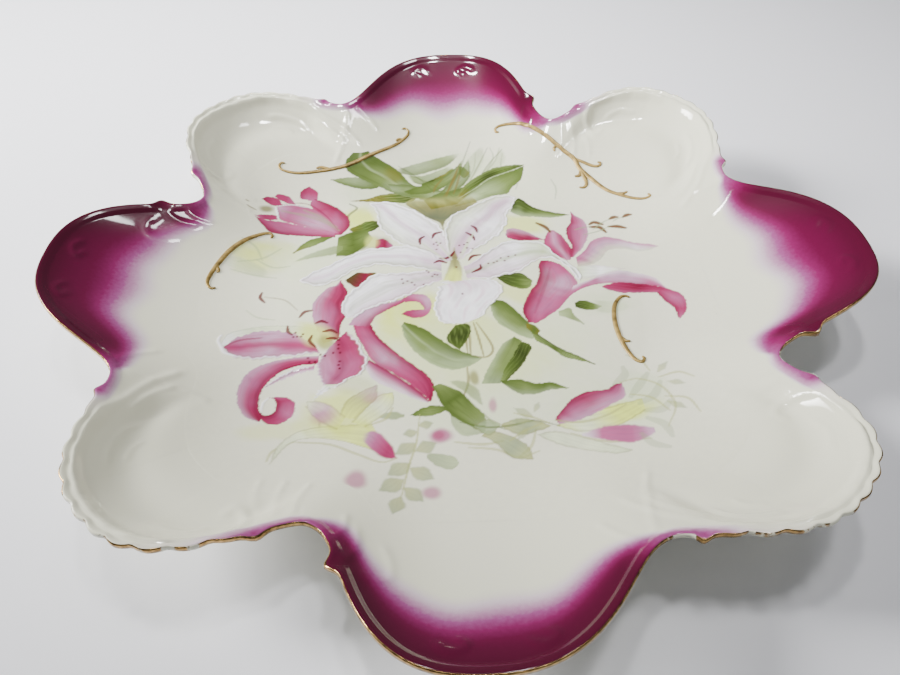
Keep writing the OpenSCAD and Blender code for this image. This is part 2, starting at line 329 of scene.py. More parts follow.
def lipPoints(inward, drop):
    # a ring of the lip: in from the outline by inward and below the crest by drop, the scallops fading inward
    fade = max(0.0, 1 - inward / lipIn[0])
    at = plainRim[:, None] * outward - inward * normal - cutBack * fade
    return np.column_stack([at, crest + drop])


lipStart = lipPoints(lipIn[0], 0)[:, :2]


def wallPoints(share, lower=0.0):
    # a ring of the wall between the floor's edge and the lip, moved down by lower
    at = bowl["floorRadius"] * outward * (1 - share) + lipStart * share
    thick = lower * (bowl["floorThick"] * (1 - share) + bowl["rimThick"] * share)
    z = surfaceZ(at[:, 0], at[:, 1], withRelief=lower == 0)
    return np.column_stack([at, z - thick])


# the inside of the bowl as rings from the floor out to the crest: shares of the wall, then steps over the lip
wallShares = np.concatenate([np.linspace(0, 0.4, 9)[:-1], np.linspace(0.4, 1, shell["wallRings"])])
insideRings = [np.column_stack([r * outward, np.full(len(around), floorZ)]) for r in shell["floorCircles"]]
insideRings += [wallPoints(s) for s in wallShares]
insideRings += [lipPoints(e, d) for e, d in zip(lipIn[1:], lipDrop[1:])]
floorRings = len(shell["floorCircles"])


def makeShell():
    # rings from the middle of the floor out to the lip, over it and back underneath, closed by two fans
    rings = insideRings + [wallPoints(s, 1.0) for s in shell["underShares"]]
    count = len(around)
    points = np.vstack(rings + [[[0, 0, floorZ], [0, 0, bowl["footHeight"]]]])
    faces = gridFaces(len(rings), count, closed=True)
    i = np.arange(count)
    j = (i + 1) % count
    last = (len(rings) - 1) * count
    top = np.stack([np.full(count, len(points) - 2), i, j, j], axis=1)
    low = np.stack([np.full(count, len(points) - 1), last + j, last + i, last + i], axis=1)
    return makeMesh("bowl_shell", points, np.vstack([faces[:, ::-1], top, low]))


def glazedPorcelain(name, paint=None, roughness=0.3):
    # white hard-paste porcelain under a clear glaze: a satin body colour below a smooth coat, so lamps show
    # as sharp spots while the white stays soft; a few dark iron specks no bigger than a pinhead
    material, tree, out = newMaterial(name)
    place = addNode(tree, "TexCoord").outputs["Object"]
    cloud = noiseOf(tree, place, 22, 3)
    speck = addNode(tree, "TexVoronoi", {"Scale": 95, "Randomness": 1}, {"Vector": place}).outputs
    dot = addNode(tree, "MapRange", {"From Min": 0.045, "From Max": 0.02, "To Max": shell["pits"]},
                  {"Value": speck["Distance"]}).outputs["Result"]
    rare = addNode(tree, "Math", {"operation": "GREATER_THAN", 1: 0.94},
                   {0: addNode(tree, "SeparateColor", None, {"Color": speck["Color"]}).outputs[0]})
    both = addNode(tree, "Math", {"operation": "MULTIPLY"}, {0: dot, 1: rare.outputs[0]}).outputs[0]
    if paint is None:
        base = addNode(tree, "Mix", {"data_type": "RGBA", 6: rgba(shell["clouds"][0]),
                                     7: rgba(shell["clouds"][1])},
                       {"Factor": cloud}).outputs[2]
    else:
        base = paint(tree, place, cloud)
    dark = addNode(tree, "Mix", {"data_type": "RGBA", 7: rgba(shell["speck"])}, {"Factor": both, 6: base})
    wave = noiseOf(tree, place, 55, 2)
    bump = addNode(tree, "Bump", {"Strength": 0.06, "Distance": 0.0004}, {"Height": wave})
    surface = addNode(tree, "BsdfPrincipled",
                      {"Roughness": roughness, "IOR": 1.5, "Specular IOR Level": 0.12, "Coat Weight": 1.0,
                       "Coat Roughness": shell["glazeRoughness"], "Coat IOR": 1.5},
                      {"Base Color": dark.outputs[2], "Normal": bump.outputs[0],
                       "Coat Normal": bump.outputs[0]})
    tree.links.new(surface.outputs[0], out.inputs["Surface"])
    return material


bowlShell = makeShell()
bowlShell.data.materials.append(glazedPorcelain("porcelain_clear_glazed"))
print("shell made", len(bowlShell.data.polygons))

# Foot ring: a band of clay with rounded edges, glazed on its sides and wiped bare where it stands
foot = {"lean": 1.4, "round": 0.8, "clay": "#d9d5c8", "bareHeight": 0.9}


def makeFoot():
    # the ring's outline turned round the axis
    a = np.radians(np.linspace(0, 90, 9))
    r, outer = foot["round"], bowl["footRadius"]
    inner = outer - bowl["footFlat"] - 2 * r
    top = bowl["footHeight"] + 0.4
    inside = np.column_stack([inner + r * (1 - np.cos(a)), r * (1 - np.sin(a))])
    outside = np.column_stack([outer - r * (1 - np.cos(a)), r * (1 - np.sin(a))])[::-1]
    flare = foot["lean"] * smoothStep(np.linspace(1, 0, 9)) + 0.7 * np.linspace(1, 0, 9) ** 6
    climb = np.linspace(top, r, 9)
    profile = np.vstack([np.column_stack([inner - flare, climb])[:-1], inside, outside,
                         np.column_stack([outer + flare, climb])[::-1][1:]])
    turn = np.radians(np.arange(0, 360, 1.25))
    points = np.stack([profile[:, 0][:, None] * np.cos(turn), profile[:, 0][:, None] * np.sin(turn),
                       np.repeat(profile[:, 1][:, None], len(turn), axis=1)], axis=-1)
    closed = np.concatenate([points, points[:1]])
    faces = gridFaces(len(closed), len(turn), closed=True)
    faces = faces % (len(profile) * len(turn))
    return makeMesh("foot_ring_turned", points.reshape(-1, 3), faces[:, ::-1])


def footPaint(tree, place, cloud):
    # glaze white above, bare toasted clay below a wiped line
    height = addNode(tree, "SeparateXYZ", None, {"Vector": place}).outputs["Z"]
    line = addNode(tree, "MapRange", {"From Min": foot["bareHeight"] * mm,
                                                "From Max": foot["bareHeight"] * mm * 0.7},
                                                {"Value": height})
    return addNode(tree, "Mix", {"data_type": "RGBA", 6: rgba(shell["porcelain"]), 7: rgba(foot["clay"])},
                   {"Factor": line.outputs[0]}).outputs[2]


footRing = makeFoot()
footRing.data.materials.append(glazedPorcelain("porcelain_foot_glazed", footPaint))
print("foot made")

# Gilding on the rim
gilding = {"gold": "#caa468", "deep": "#6f5330", "thick": 0.08, "width": 0.4, "roughness": 0.14}


def makeGilding():
    # a thin strip over the crest, its edges wandering like brushwork; worn thin along the scallops
    t = np.linspace(0, 1, 10)
    wander = np.sin(np.radians(around * 17)) + 0.6 * np.sin(np.radians(around * 43 + 20))
    plain = np.abs((around + 45) % 90 - 45) > bowl["lobeHalf"] - 1
    noise = np.convolve(rng.normal(0, 1, len(around) + 8), np.ones(9) / 3, "valid")
    worn = np.clip(0.42 + 0.4 * noise, 0, 1) * plain + np.clip(0.1 * noise, 0, 0.2) * ~plain
    widthIn = gilding["width"] * (1 + 0.1 * wander - 0.35 * worn)
    rings = []
    for s in t:
        inward = widthIn * (1 - s)
        drop = np.interp(inward, lipIn[8::-1], lipDrop[8::-1])
        drop = np.where(s > 0.8, np.interp(s, [0.8, 1], [-0.5, -1.45]), drop)
        lift = gilding["thick"] * np.sin(np.pi * np.clip(s, 0.02, 0.98)) ** 0.3
        at = plainRim[:, None] * outward - (inward - lift * (s > 0.5))[:, None] * normal
        at -= cutBack * np.clip(1 - inward / lipIn[0], 0, 1)[:, None]
        rings.append(np.column_stack([at, crest + drop + lift * (s < 0.95)]))
    for s in (0.9, 0.5, 0.1):
        inward = widthIn * (1 - s) + 0.3
        at = plainRim[:, None] * outward - inward[:, None] * normal - cutBack * 0.9
        rings.append(np.column_stack([at, crest - 0.9]))
    points = np.vstack(rings)
    closed = gridFaces(len(rings) + 1, len(around), closed=True) % len(points)
    wear = np.tile(worn[:, None], (len(rings), 3))
    return makeMesh("rim_gilt_line", points, closed[:, ::-1], wear)


def giltMaterial(name, bright, deep, roughness, grain):
    # burnished gold: soft yellow mirror, darker where it thins, with fine brush grain
    material, tree, out = newMaterial(name)
    place = addNode(tree, "TexCoord").outputs["Object"]
    fine = noiseOf(tree, place, grain, 4)
    tone = addNode(tree, "Mix", {"data_type": "RGBA", 6: rgba(deep), 7: rgba(bright)},
                   {"Factor": addNode(tree, "MapRange", {"From Min": 0.3, "From Max": 0.6},
                                      {"Value": fine}).outputs[0]}).outputs[2]
    rough = addNode(tree, "MapRange", {"To Min": roughness, "To Max": roughness + 0.16}, {"Value": fine})
    bump = addNode(tree, "Bump", {"Strength": 0.25, "Distance": 0.0002}, {"Height": fine})
    return material, tree, out, tone, rough.outputs[0], bump.outputs[0], fine


def rimGold():
    # gold leaf gone thin: the white glaze shows through where it has worn
    material, tree, out, tone, rough, bump, fine = giltMaterial(
        "gold_burnished_worn", gilding["gold"], gilding["deep"], gilding["roughness"], 700)
    worn = addNode(tree, "Attribute", {"attribute_name": "paint"}).outputs["Fac"]
    mixed = addNode(tree, "Math", {"operation": "ADD"}, {0: fine, 1: worn}).outputs[0]
    bare = addNode(tree, "MapRange", {"From Min": 0.98, "From Max": 1.12}, {"Value": mixed}).outputs[0]
    colour = addNode(tree, "Mix", {"data_type": "RGBA", 7: rgba(shell["porcelain"])},
                     {"Factor": bare, 6: tone}).outputs[2]
    metal = addNode(tree, "Math", {"operation": "SUBTRACT", 0: 1.0}, {1: bare}).outputs[0]
    surface = addNode(tree, "BsdfPrincipled", None,
                      {"Base Color": colour, "Metallic": metal, "Roughness": rough, "Normal": bump})
    tree.links.new(surface.outputs[0], out.inputs["Surface"])
    return material


rimLine = makeGilding()
rimLine.data.materials.append(rimGold())
print("gilding made")

# Magenta grounds: sprayed colour, deep at the rim and fading into the white
ground = {
    "turn": {"right": 0, "back": 90, "left": 180, "front": 270},
    "deep": {"right": 19.0, "back": 16.0, "left": 20.0, "front": 11.0},
    "faded": {"right": 33.0, "back": 33.0, "left": 35.0, "front": 24.0},
    "spill": {"right": 5.0, "back": 6.0, "left": 5.0, "front": 15.0},
    "atNotch": 0.14, "bandSpill": 3.4, "half": 41.0, "lift": 0.035,
    "tones": [(0.0, "#edecd4"), (0.12, "#dccbd2"), (0.28, "#bd8fad"), (0.45, "#9c4f84"),
              (0.64, "#84205a"), (0.82, "#640a38"), (1.0, "#4c0625")],
}


def groundPatch(side):
    # the same rings as the shell beside one lobe, lifted a hair, their outer edges tucked back under; the
    # tone falls with the distance in from the rim, sooner beside the notches
    middle = ground["turn"][side]
    degrees = (around - middle + 180) % 360 - 180
    here = np.flatnonzero(np.abs(degrees) <= ground["half"])
    here = here[np.argsort(degrees[here])]
    degrees = degrees[here]
    first = floorRings + int(np.searchsorted(wallShares, 0.3))
    last = len(insideRings) - 2
    rings = np.stack([ring[here] for ring in insideRings[first:last]])
    rimAt = plainRim[here]
    inward = rimAt[None] - np.hypot(rings[..., 0], rings[..., 1])
    edge = np.clip(np.abs(degrees) / bowl["lobeHalf"], 0, 1)
    beyond = (np.abs(degrees) - bowl["lobeHalf"] + 1) / ground["spill"][side]
    narrow = 1 - (1 - ground["atNotch"]) * edge ** 1.7
    past = smoothStep(beyond / 0.3)
    deep = ground["deep"][side] * narrow * (1 - past)
    faded = ground["faded"][side] * narrow * (1 - past) + ground["bandSpill"] * past
    sway = 1 + 0.05 * np.sin(np.radians(degrees * 11 + middle)) + 0.04 * np.sin(np.radians(degrees * 29))
    tone = 1 - smoothStep((inward / sway - 0.6 * deep) / np.maximum(faded - 0.6 * deep, 0.5))
    tone = tone * (0.8 + 0.2 * np.exp(-((inward / 9.0) ** 2)))
    nub = bowl["lobeHalf"] + bowl["nubPast"] + np.where(degrees > 0, 0, bowl["nubFurther"])
    strength = 1 - 0.5 * smoothStep((np.abs(degrees) - 17) / 7)
    strength = strength * (1 - 0.85 * smoothStep((np.abs(degrees) - nub) / (0.35 * ground["spill"][side])))
    strength = strength * (1 - smoothStep((np.abs(degrees) - nub) / ground["spill"][side]))
    tone = tone * strength[None]
    tone = np.maximum(tone, 0.6 * np.exp(-((np.abs(degrees) - nub) / 0.8) ** 2 - (inward / 1.3) ** 2))
    row = np.arange(len(rings))[:, None]
    tuck = smoothStep(row / 3) * smoothStep((len(rings) - 1 - row) / 2)
    tuck = tuck * smoothStep(ground["half"] - np.abs(degrees))[None]
    over = smoothStep((row - len(rings) + 6) / 4)[..., None]
    away = np.concatenate([normal[here], np.zeros((len(here), 1))], axis=1)[None] * over
    away = away + np.array([0, 0, 1.0]) * (1 - over)
    points = rings + away * (ground["lift"] * (2 * tuck - 1))[..., None]
    colours = np.repeat(tone.reshape(-1, 1), 3, axis=1)
    faces = gridFaces(len(rings), len(here))
    return makeMesh("magenta_ground_" + side, points.reshape(-1, 3), faces[:, ::-1], colours)


def magentaPaint(tree, place, cloud):
    # a spray of fine droplets: the tone is broken up by tiny grain where it thins out
    tone = addNode(tree, "Attribute", {"attribute_name": "paint"}).outputs["Fac"]
    grain = noiseOf(tree, place, 900, 2)
    patch = noiseOf(tree, place, 60, 3)
    centred = addNode(tree, "Math", {"operation": "SUBTRACT", 1: 0.5}, {0: grain}).outputs[0]
    soft = addNode(tree, "Math", {"operation": "SUBTRACT", 1: 0.5}, {0: patch}).outputs[0]
    sway = addNode(tree, "Math", {"operation": "MULTIPLY_ADD", 1: 0.35}, {0: soft, 2: centred}).outputs[0]
    span = addNode(tree, "Math", {"operation": "PINGPONG", 1: 0.5}, {0: tone}).outputs[0]
    amount = addNode(tree, "Math", {"operation": "MULTIPLY"}, {0: sway, 1: span}).outputs[0]
    total = addNode(tree, "Math", {"operation": "MULTIPLY_ADD", 1: 0.3}, {0: amount, 2: tone}).outputs[0]
    ramp = addNode(tree, "ValToRGB", None, {"Fac": total})
    stops = ramp.color_ramp.elements
    for place0, colour in ground["tones"][1:-1]:
        stops.new(place0)
    for stop, (place0, colour) in zip(stops, ground["tones"]):
        stop.position = place0
        stop.color = rgba(colour)
    return ramp.outputs["Color"]


groundPieces = {}
magentaGlaze = glazedPorcelain("magenta_spray_glazed", magentaPaint, 0.22)
for sideName in ground["turn"]:
    groundPieces[sideName] = groundPatch(sideName)
    groundPieces[sideName].data.materials.append(magentaGlaze)
print("grounds made")


def cordPoints(path, halfWidth, height, count, lift=0.0, sides=9, ends=0.45):
    # a raised line on the surface: half round on top, flat below it, thinner towards its ends
    line = smoothLine(path, count)
    along = np.gradient(line, axis=0)
    along /= np.linalg.norm(along, axis=1, keepdims=True) + 1e-9
    square = np.stack([-along[:, 1], along[:, 0]], axis=1)
    s = np.linspace(0, 1, count)
    taper = ends + (1 - ends) * np.sin(np.pi * s) ** 0.6
    taper = taper * smoothStep(np.minimum(s, 1 - s) * count / 3 + 0.35)
    a = np.linspace(np.pi, 0, sides)
    offset = np.cos(a)[None] * halfWidth * taper[:, None]
    at = line[:, None] + offset[..., None] * square[:, None]
    z = surfaceZ(at[..., 0], at[..., 1]) + lift + (height * np.sin(a)[None] - 0.03) * taper[:, None]
    points = np.concatenate([at, z[..., None]], axis=-1)
    return points.reshape(-1, 3), gridFaces(count, sides)


# Raised gold scrolls: each is a list of lines of (x, y) with a half width
scrollGold = {"gold": "#ad9152", "deep": "#776232", "height": 0.5, "widen": 1.25, "roughness": 0.34}
scrolls = {
    "back_left": [
        ([(-67, 72), (-68.6, 71.7), (-69.2, 69.8), (-67.4, 68.2), (-62, 68), (-55, 69.8), (-48, 72),
          (-41, 75),
          (-33.5, 80), (-24, 86.3), (-19.7, 90.5), (-17.9, 93.6), (-19, 95.6), (-20.8, 95)], 0.62),
        ([(-49, 71.7), (-53, 72.2), (-55, 71.4)], 0.5), ([(-20, 90), (-22, 89.8), (-23.2, 88.6)], 0.45)],
    "back_right": [
        ([(20.4, 92.8), (19, 93.2), (19, 95), (21.5, 95.8), (27, 94.8), (33, 91.3), (39, 86), (44, 80.8),
          (49.6, 75), (51.5, 70), (55, 64.5), (60, 57.3), (65, 53), (69.5, 49.8), (73, 48.3), (75.3, 48.8),
          (74.8, 50.4)], 0.7),
        ([(49, 75.6), (53, 73), (56.5, 70.6), (59, 70), (60, 71.3), (58.8, 72)], 0.55),
        ([(50.5, 72), (52.6, 66), (53.2, 62), (52, 60), (50, 60.3)], 0.6),
        ([(51.6, 69), (51, 66.5), (49, 66.3)], 0.55), ([(43.5, 81.5), (42, 80.2), (42.3, 78.8)], 0.45),
        ([(63, 54.4), (66, 53.6), (68, 54)], 0.5)],
    "left": [
        ([(-68.4, 31.2), (-67.9, 32.8), (-69.5, 33.6), (-73, 31.4), (-77.3, 27.5), (-81.3, 22),
          (-84.2, 15.5),
          (-86.1, 9), (-86.2, 5.5), (-84.8, 3.5), (-83.2, 4.1)], 0.68),
        ([(-84.6, 14.5), (-83.7, 12.4), (-84, 11.2)], 0.5)],
    "right": [
        ([(58.4, -1.6), (57, -0.7), (54.8, -1.6), (52.4, -5.5), (51.2, -12), (51.3, -18.5), (52.3, -24.5),
          (54.3, -29.6), (56.3, -31), (57.4, -29.8), (57, -28.6)], 0.68),
        ([(51.6, -19.5), (53, -21.7), (54.6, -21.9)], 0.5)],
}


def makeScroll(name, lines):
    # all of a scroll's lines in one mesh
    points, faces, start = [], [], 0
    for path, halfWidth in lines:
        p, f = cordPoints(path, halfWidth * scrollGold["widen"], scrollGold["height"] * halfWidth / 0.6,
                          16 * len(path), 0.2)
        points.append(p)
        faces.append(f + start)
        start += len(p)
    return makeMesh("gold_scroll_" + name, np.vstack(points), np.vstack(faces)[:, ::-1])


def pasteGold():
    # gold over raised paste, left unpolished: brown in its shadows
    material, tree, out, tone, rough, bump = giltMaterial(
        "gold_raised_paste", scrollGold["gold"], scrollGold["deep"], scrollGold["roughness"], 420)[:-1]
    surface = addNode(tree, "BsdfPrincipled", {"Metallic": 0.4},
                      {"Base Color": tone, "Roughness": rough, "Normal": bump})
    tree.links.new(surface.outputs[0], out.inputs["Surface"])
    return material


scrollPaste = pasteGold()
scrollPieces = {}
for scrollName, scrollLines in scrolls.items():
    scrollPieces[scrollName] = makeScroll(scrollName, scrollLines)
    scrollPieces[scrollName].data.materials.append(scrollPaste)
print("scrolls made")


# The lily painting: a fine net of points over the floor and the lower wall. Every stroke of the brush tints
# the points it covers and raises them a little where the enamel is thick.
painting = {"step": 0.36, "lift": 0.05, "enamel": 0.28, "enamelWidth": 0.34, "ruffle": 0.45, "reach": 0.62,
            "strips": 3,
            "bodyTone": "#edecd4", "depth": 1.3, "across": (-86, 86), "upwards": (-88, 93)}
paints = {
    "crimson": "#92274c", "rose": "#b04d74", "pink": "#c07899", "lilac": "#cdaabb", "blush": "#eadfe0",
    "mauve": "#dcc5cf", "white": "#fdfcf8", "shade": "#c2c3b2", "deepLeaf": "#4b5728", "leaf": "#66773c",
    "midLeaf": "#8b9b60", "paleLeaf": "#b4c294", "greyLeaf": "#a0ad84", "olive": "#858038",
    "paleOlive": "#bdbf80",
    "yellow": "#e2ea86", "cream": "#e7ecca", "greenWhite": "#dae2be", "brown": "#742230", "stem": "#87773f",
    "dot": "#6d1830",
}
bodyTone = linearColour(painting["bodyTone"])
tint = {name: bodyTone * (linearColour(colour) / bodyTone) ** painting["depth"] for name,
        colour in paints.items()}
netX, netY = np.meshgrid(np.arange(*painting["across"], painting["step"]),
                         np.arange(*painting["upwards"], painting["step"]))
netRim = plainRadius(np.degrees(np.arctan2(netY, netX)))
netShare = (np.hypot(netX, netY) - bowl["floorRadius"]) / (netRim - lipIn[0] - bowl["floorRadius"])
net = np.column_stack([netX.ravel(), netY.ravel()])
netTone = np.tile(bodyTone, (len(net), 1))
netRaise = np.zeros(len(net))


def cloud(points, size, seed):
    # smooth wandering values about zero: a few crossed waves bent by one another
    x, y = points[:, 0] / size + seed, points[:, 1] / size - seed
    bendX = x + 0.7 * np.sin(1.7 * y + seed)
    bendY = y + 0.7 * np.sin(1.3 * x - 2 * seed)
    return (np.sin(bendX * 2.1) * np.cos(bendY * 1.7) + 0.5 * np.sin(bendX * 4.3 + bendY * 3.1)) / 1.5


def pairs(text):
    # "x,y x,y" as an array
    return np.array([[float(v) for v in pair.split(",")] for pair in text.split()])


def laidOn(chosen, colour, amount):
    # paint over what is there, by amount
    amount = np.clip(amount, 0, 1)[:, None]
    netTone[chosen] = netTone[chosen] * (1 - amount) + colour * amount


def nearTo(points, margin):
    # which of the net's points lie in the box round some points, widened by margin
    low, high = points.min(axis=0) - margin, points.max(axis=0) + margin
    return np.flatnonzero(((net > low) & (net < high)).all(axis=1))


def petalPlace(chosen, left, right, stations=54):
    # s from root to tip and t from left to right edge for each point, and how far inside it lies
    a, b = smoothLine(left, stations), smoothLine(right, stations)
    across = b - a
    width = np.linalg.norm(across, axis=1)
    sound = width > 0.3
    use = np.interp(np.arange(stations), np.flatnonzero(sound), np.flatnonzero(sound)).round().astype(int)
    unit = across[use] / width[use][:, None]
    middle, width = (a + b) / 2, np.maximum(width, 0.2)
    a, b = middle - unit * width[:, None] / 2, middle + unit * width[:, None] / 2
    p = net[chosen][:, None]
    side = unit[:, 0] * (p[..., 1] - a[:, 1]) - unit[:, 1] * (p[..., 0] - a[:, 0])
    first, second = side[:, :-1], side[:, 1:]
    between = first * second <= 0
    share = first / np.where(np.abs(first - second) < 1e-9, 1, first - second)
    ax = a[:-1, 0] + share * np.diff(a[:, 0])
    ay = a[:-1, 1] + share * np.diff(a[:, 1])
    bx = b[:-1, 0] + share * np.diff(b[:, 0])
    by = b[:-1, 1] + share * np.diff(b[:, 1])
    wide = np.hypot(bx - ax, by - ay) + 1e-6
    t = ((p[..., 0] - ax) * (bx - ax) + (p[..., 1] - ay) * (by - ay)) / wide ** 2
    offMiddle = np.where(between, np.abs(t - 0.5) * wide, 1e3)
    best = offMiddle.argmin(axis=1)
    row = np.arange(len(chosen))
    t, wide = t[row, best], wide[row, best]
    s = (best + share[row, best]) / (stations - 1)
    inside = np.where(between[row, best], np.minimum(t, 1 - t) * wide, -9.0)
    return s, t, wide, inside


def petal(left, right, tones, leftTone=None, rightTone=None, rib=None, streaks=None, soft=0.3, strength=1.0,
          enamel=(0, 0), fade=(0.0, 0.0), edge=None, seed=1.0):
    # one petal or leaf: tones run from root to tip, side tones creep in from its edges, a rib and streaks run
    # along it, and raised white enamel follows the edges where it is given
    left, right = pairs(left), pairs(right)
    chosen = nearTo(np.vstack([left, right]), 2.0)
    s, t, wide, inside = petalPlace(chosen, left, right)
    if max(enamel) > 0:
        inside = inside + painting["ruffle"] * (np.sin(s * 55 + seed) * np.sin(s * 23 + 2 * seed) - 0.2)
    inside = inside + 0.22 * cloud(net[chosen], 1.6, seed)
    keep = inside > -1.5 * soft
    chosen, s, t, wide, inside = chosen[keep], s[keep], t[keep], wide[keep], inside[keep]
    wander = cloud(net[chosen], 5.0, seed)
    stops = np.array([tint[name] for name in tones])
    at = np.clip(s + 0.06 * wander, 0, 1) * (len(stops) - 1)
    colour = np.stack([np.interp(at, np.arange(len(stops)), stops[:, i]) for i in range(3)], axis=1)

    def blend(amount, name):
        # the colour so far, moved towards a named one by amount
        amount = np.clip(amount, 0, 1)[:, None]
        return colour * (1 - amount) + tint[name] * amount

    fine = np.sin(t * 23 + 2.5 * np.sin(s * 6 + seed) + seed) * 0.5 + np.sin(t * 41 + seed + 3 * s) * 0.3
    for given, gap in ((leftTone, t), (rightTone, 1 - t)):
        if given:
            name, reach, much = given
            colour = blend(much * np.exp(-(np.clip(gap, 0, 1) / (reach * (1 + 0.25 * wander))) ** 2), name)
    if streaks:
        name, much = streaks
        colour = blend(much * np.clip(fine + 0.25 * wander, 0,
                                      1) * np.sin(np.pi * np.clip(s, 0.02, 0.98)) ** 0.5, name)
    if rib:
        name, ribWidth, much = rib
        off = (t - 0.5 + 0.03 * wander) * wide
        colour = blend(much * np.exp(-(off / ribWidth) ** 2) * smoothStep((1 - s) / 0.15), name)
    colour = colour * (1 + 0.09 * wander + 0.11 * fine)[:, None]
    if edge:
        name, edgeWidth, much = edge
        colour = blend(much * np.exp(-(np.clip(inside - 0.15, 0, 9) / edgeWidth) ** 2), name)
    cover = smoothStep(inside / soft + 0.5) * strength
    for share, gap in ((fade[0], s), (fade[1], 1 - s)):
        if share:
            cover = cover * smoothStep(gap / share)
    laidOn(chosen, colour, cover)
    for much, gap in ((enamel[0], t), (enamel[1], 1 - t)):
        if much:
            nearer = np.abs(gap * wide - np.minimum(t, 1 - t) * wide) < 1e-6
            band = np.exp(-((inside - 0.3) / painting["enamelWidth"]) ** 2) * nearer
            band = band * smoothStep(s / 0.15) * smoothStep(inside / soft + 0.9) * strength
            # painted shadow: a thin dark line in stem colour laid just inside and just outside the raised
            # enamel band
            shadow = np.exp(-((inside - 1.1) / 0.4) ** 2) + 0.8 * np.exp(-((inside + 0.25) / 0.25) ** 2)
            laidOn(chosen, tint["stem"], 0.3 * much * shadow * nearer * smoothStep(s / 0.2) * strength)
            laidOn(chosen, tint["white"], much * band)
            netRaise[chosen] = np.maximum(netRaise[chosen], painting["enamel"] * much * band)


def stroke(path, name, width=0.32, much=0.8, raised=0.0, taper=0.5, samples=70):
    # a thin line: solid to half its width and soft beyond, thinner towards its ends
    line = smoothLine(pairs(path), samples)
    chosen = nearTo(line, 3 * width + 0.5)
    apart = ((net[chosen][:, None] - line[None]) ** 2).sum(axis=2)
    best = apart.argmin(axis=1)
    gap = np.sqrt(apart[np.arange(len(chosen)), best])
    place = best / (samples - 1)
    wide = width * (1 - taper + taper * np.sin(np.pi * np.clip(place, 0.02, 0.98)))
    cover = smoothStep((wide - gap) / 0.3 + 0.6)
    laidOn(chosen, tint[name], much * cover)
    if raised:
        netRaise[chosen] = np.maximum(netRaise[chosen], raised * cover)


def wash(x, y, wide, deep, name, much, turn=0.0, seed=1.0):
    # a soft pool of colour with a wandering edge
    a = math.radians(turn)
    dx, dy = net[:, 0] - x, net[:, 1] - y
    u = (dx * math.cos(a) + dy * math.sin(a)) / wide
    v = (-dx * math.sin(a) + dy * math.cos(a)) / deep
    chosen = np.flatnonzero(u * u + v * v < 2.6)
    r = np.hypot(u[chosen], v[chosen]) + 0.16 * cloud(net[chosen], 6.0, seed)
    laidOn(chosen, tint[name], much * smoothStep((1.25 - r) / 0.75))


def dots(text, name="dot", radius=0.42, much=0.9):
    # small round spots, soft at the edge
    for x, y in pairs(text):
        chosen = nearTo(np.array([[x, y]]), 1.5)
        gap = np.hypot(*(net[chosen] - (x, y)).T)
        laidOn(chosen, tint[name], much * smoothStep((radius - gap) / 0.3 + 0.5))


def leaflet(root, tip, spread, **look):
    # a small pointed leaf whose sides stand off its middle by spread times its length
    (x0, y0), (x1, y1) = root, tip
    nx, ny = (y1 - y0) * spread, -(x1 - x0) * spread
    mx, my = (x0 + x1) / 2, (y0 + y1) / 2
    petal(f"{x0},{y0} {mx + nx},{my + ny} {x1},{y1}", f"{x0},{y0} {mx - nx},{my - ny} {x1},{y1}",
          ["paleOlive", "greyLeaf"], **look)


# pale washes first
paleWashes = [  # place, half width, half depth, paint, amount, turn in degrees, seed
    (-6, 4, 62, 52, "cream", 0.5, 0, 2), (0, 60, 45, 22, "cream", 0.35, 0, 3),
    (-68, 22, 14, 8, "yellow", 0.7, 15, 1.3), (-74, 24, 7, 5, "yellow", 0.4, 0, 2.7),
    (-16, -10, 14, 14, "yellow", 0.95, 0, 4), (3, -15, 11, 8, "yellow", 0.8, 0, 5),
    (22, 2, 12, 6, "yellow", 0.55, -20, 6), (26, 40, 10, 6, "yellow", 0.7, 0, 7),
    (-36, 45, 7, 7, "yellow", 0.95, 0, 8), (-30, 30, 6, 5, "olive", 0.5, 0, 9),
    (-38, -48, 13, 9, "yellow", 0.75, 20, 1.7), (-55, -56, 12, 4, "yellow", 0.35, 10, 2.2),
    (4, -30, 40, 26, "cream", 0.8, 0, 2.9), (4, -24, 30, 20, "yellow", 0.3, 0, 7.1),
    (-18, 62, 26, 14, "greenWhite", 0.7, 0, 7.7), (-50, 20, 22, 12, "cream", 0.7, 0, 8.3),
    (42, -50, 19, 12, "cream", 0.8, 0, 3.3), (46, -51, 13, 4, "yellow", 0.9, 12, 3.9),
    (54, -42, 8, 8, "greenWhite", 0.6, 0, 4.4), (2, -50, 20, 6, "cream", 0.6, 0, 4.8),
    (-46, 28, 14, 5, "greenWhite", 0.6, 25, 5.5), (0, 76, 20, 9, "greenWhite", 0.6, 0, 5.9),
    (54, 8, 10, 6, "greenWhite", 0.5, 0, 6.2), (48, -4, 12, 6, "greenWhite", 0.5, 0, 6.6),
    (30, -16, 14, 9, "cream", 0.6, 0, 6.9),
]
for x, y, wide, deep, name, much, turn, seed in paleWashes:
    wash(x, y, wide, deep, name, much, turn, seed)

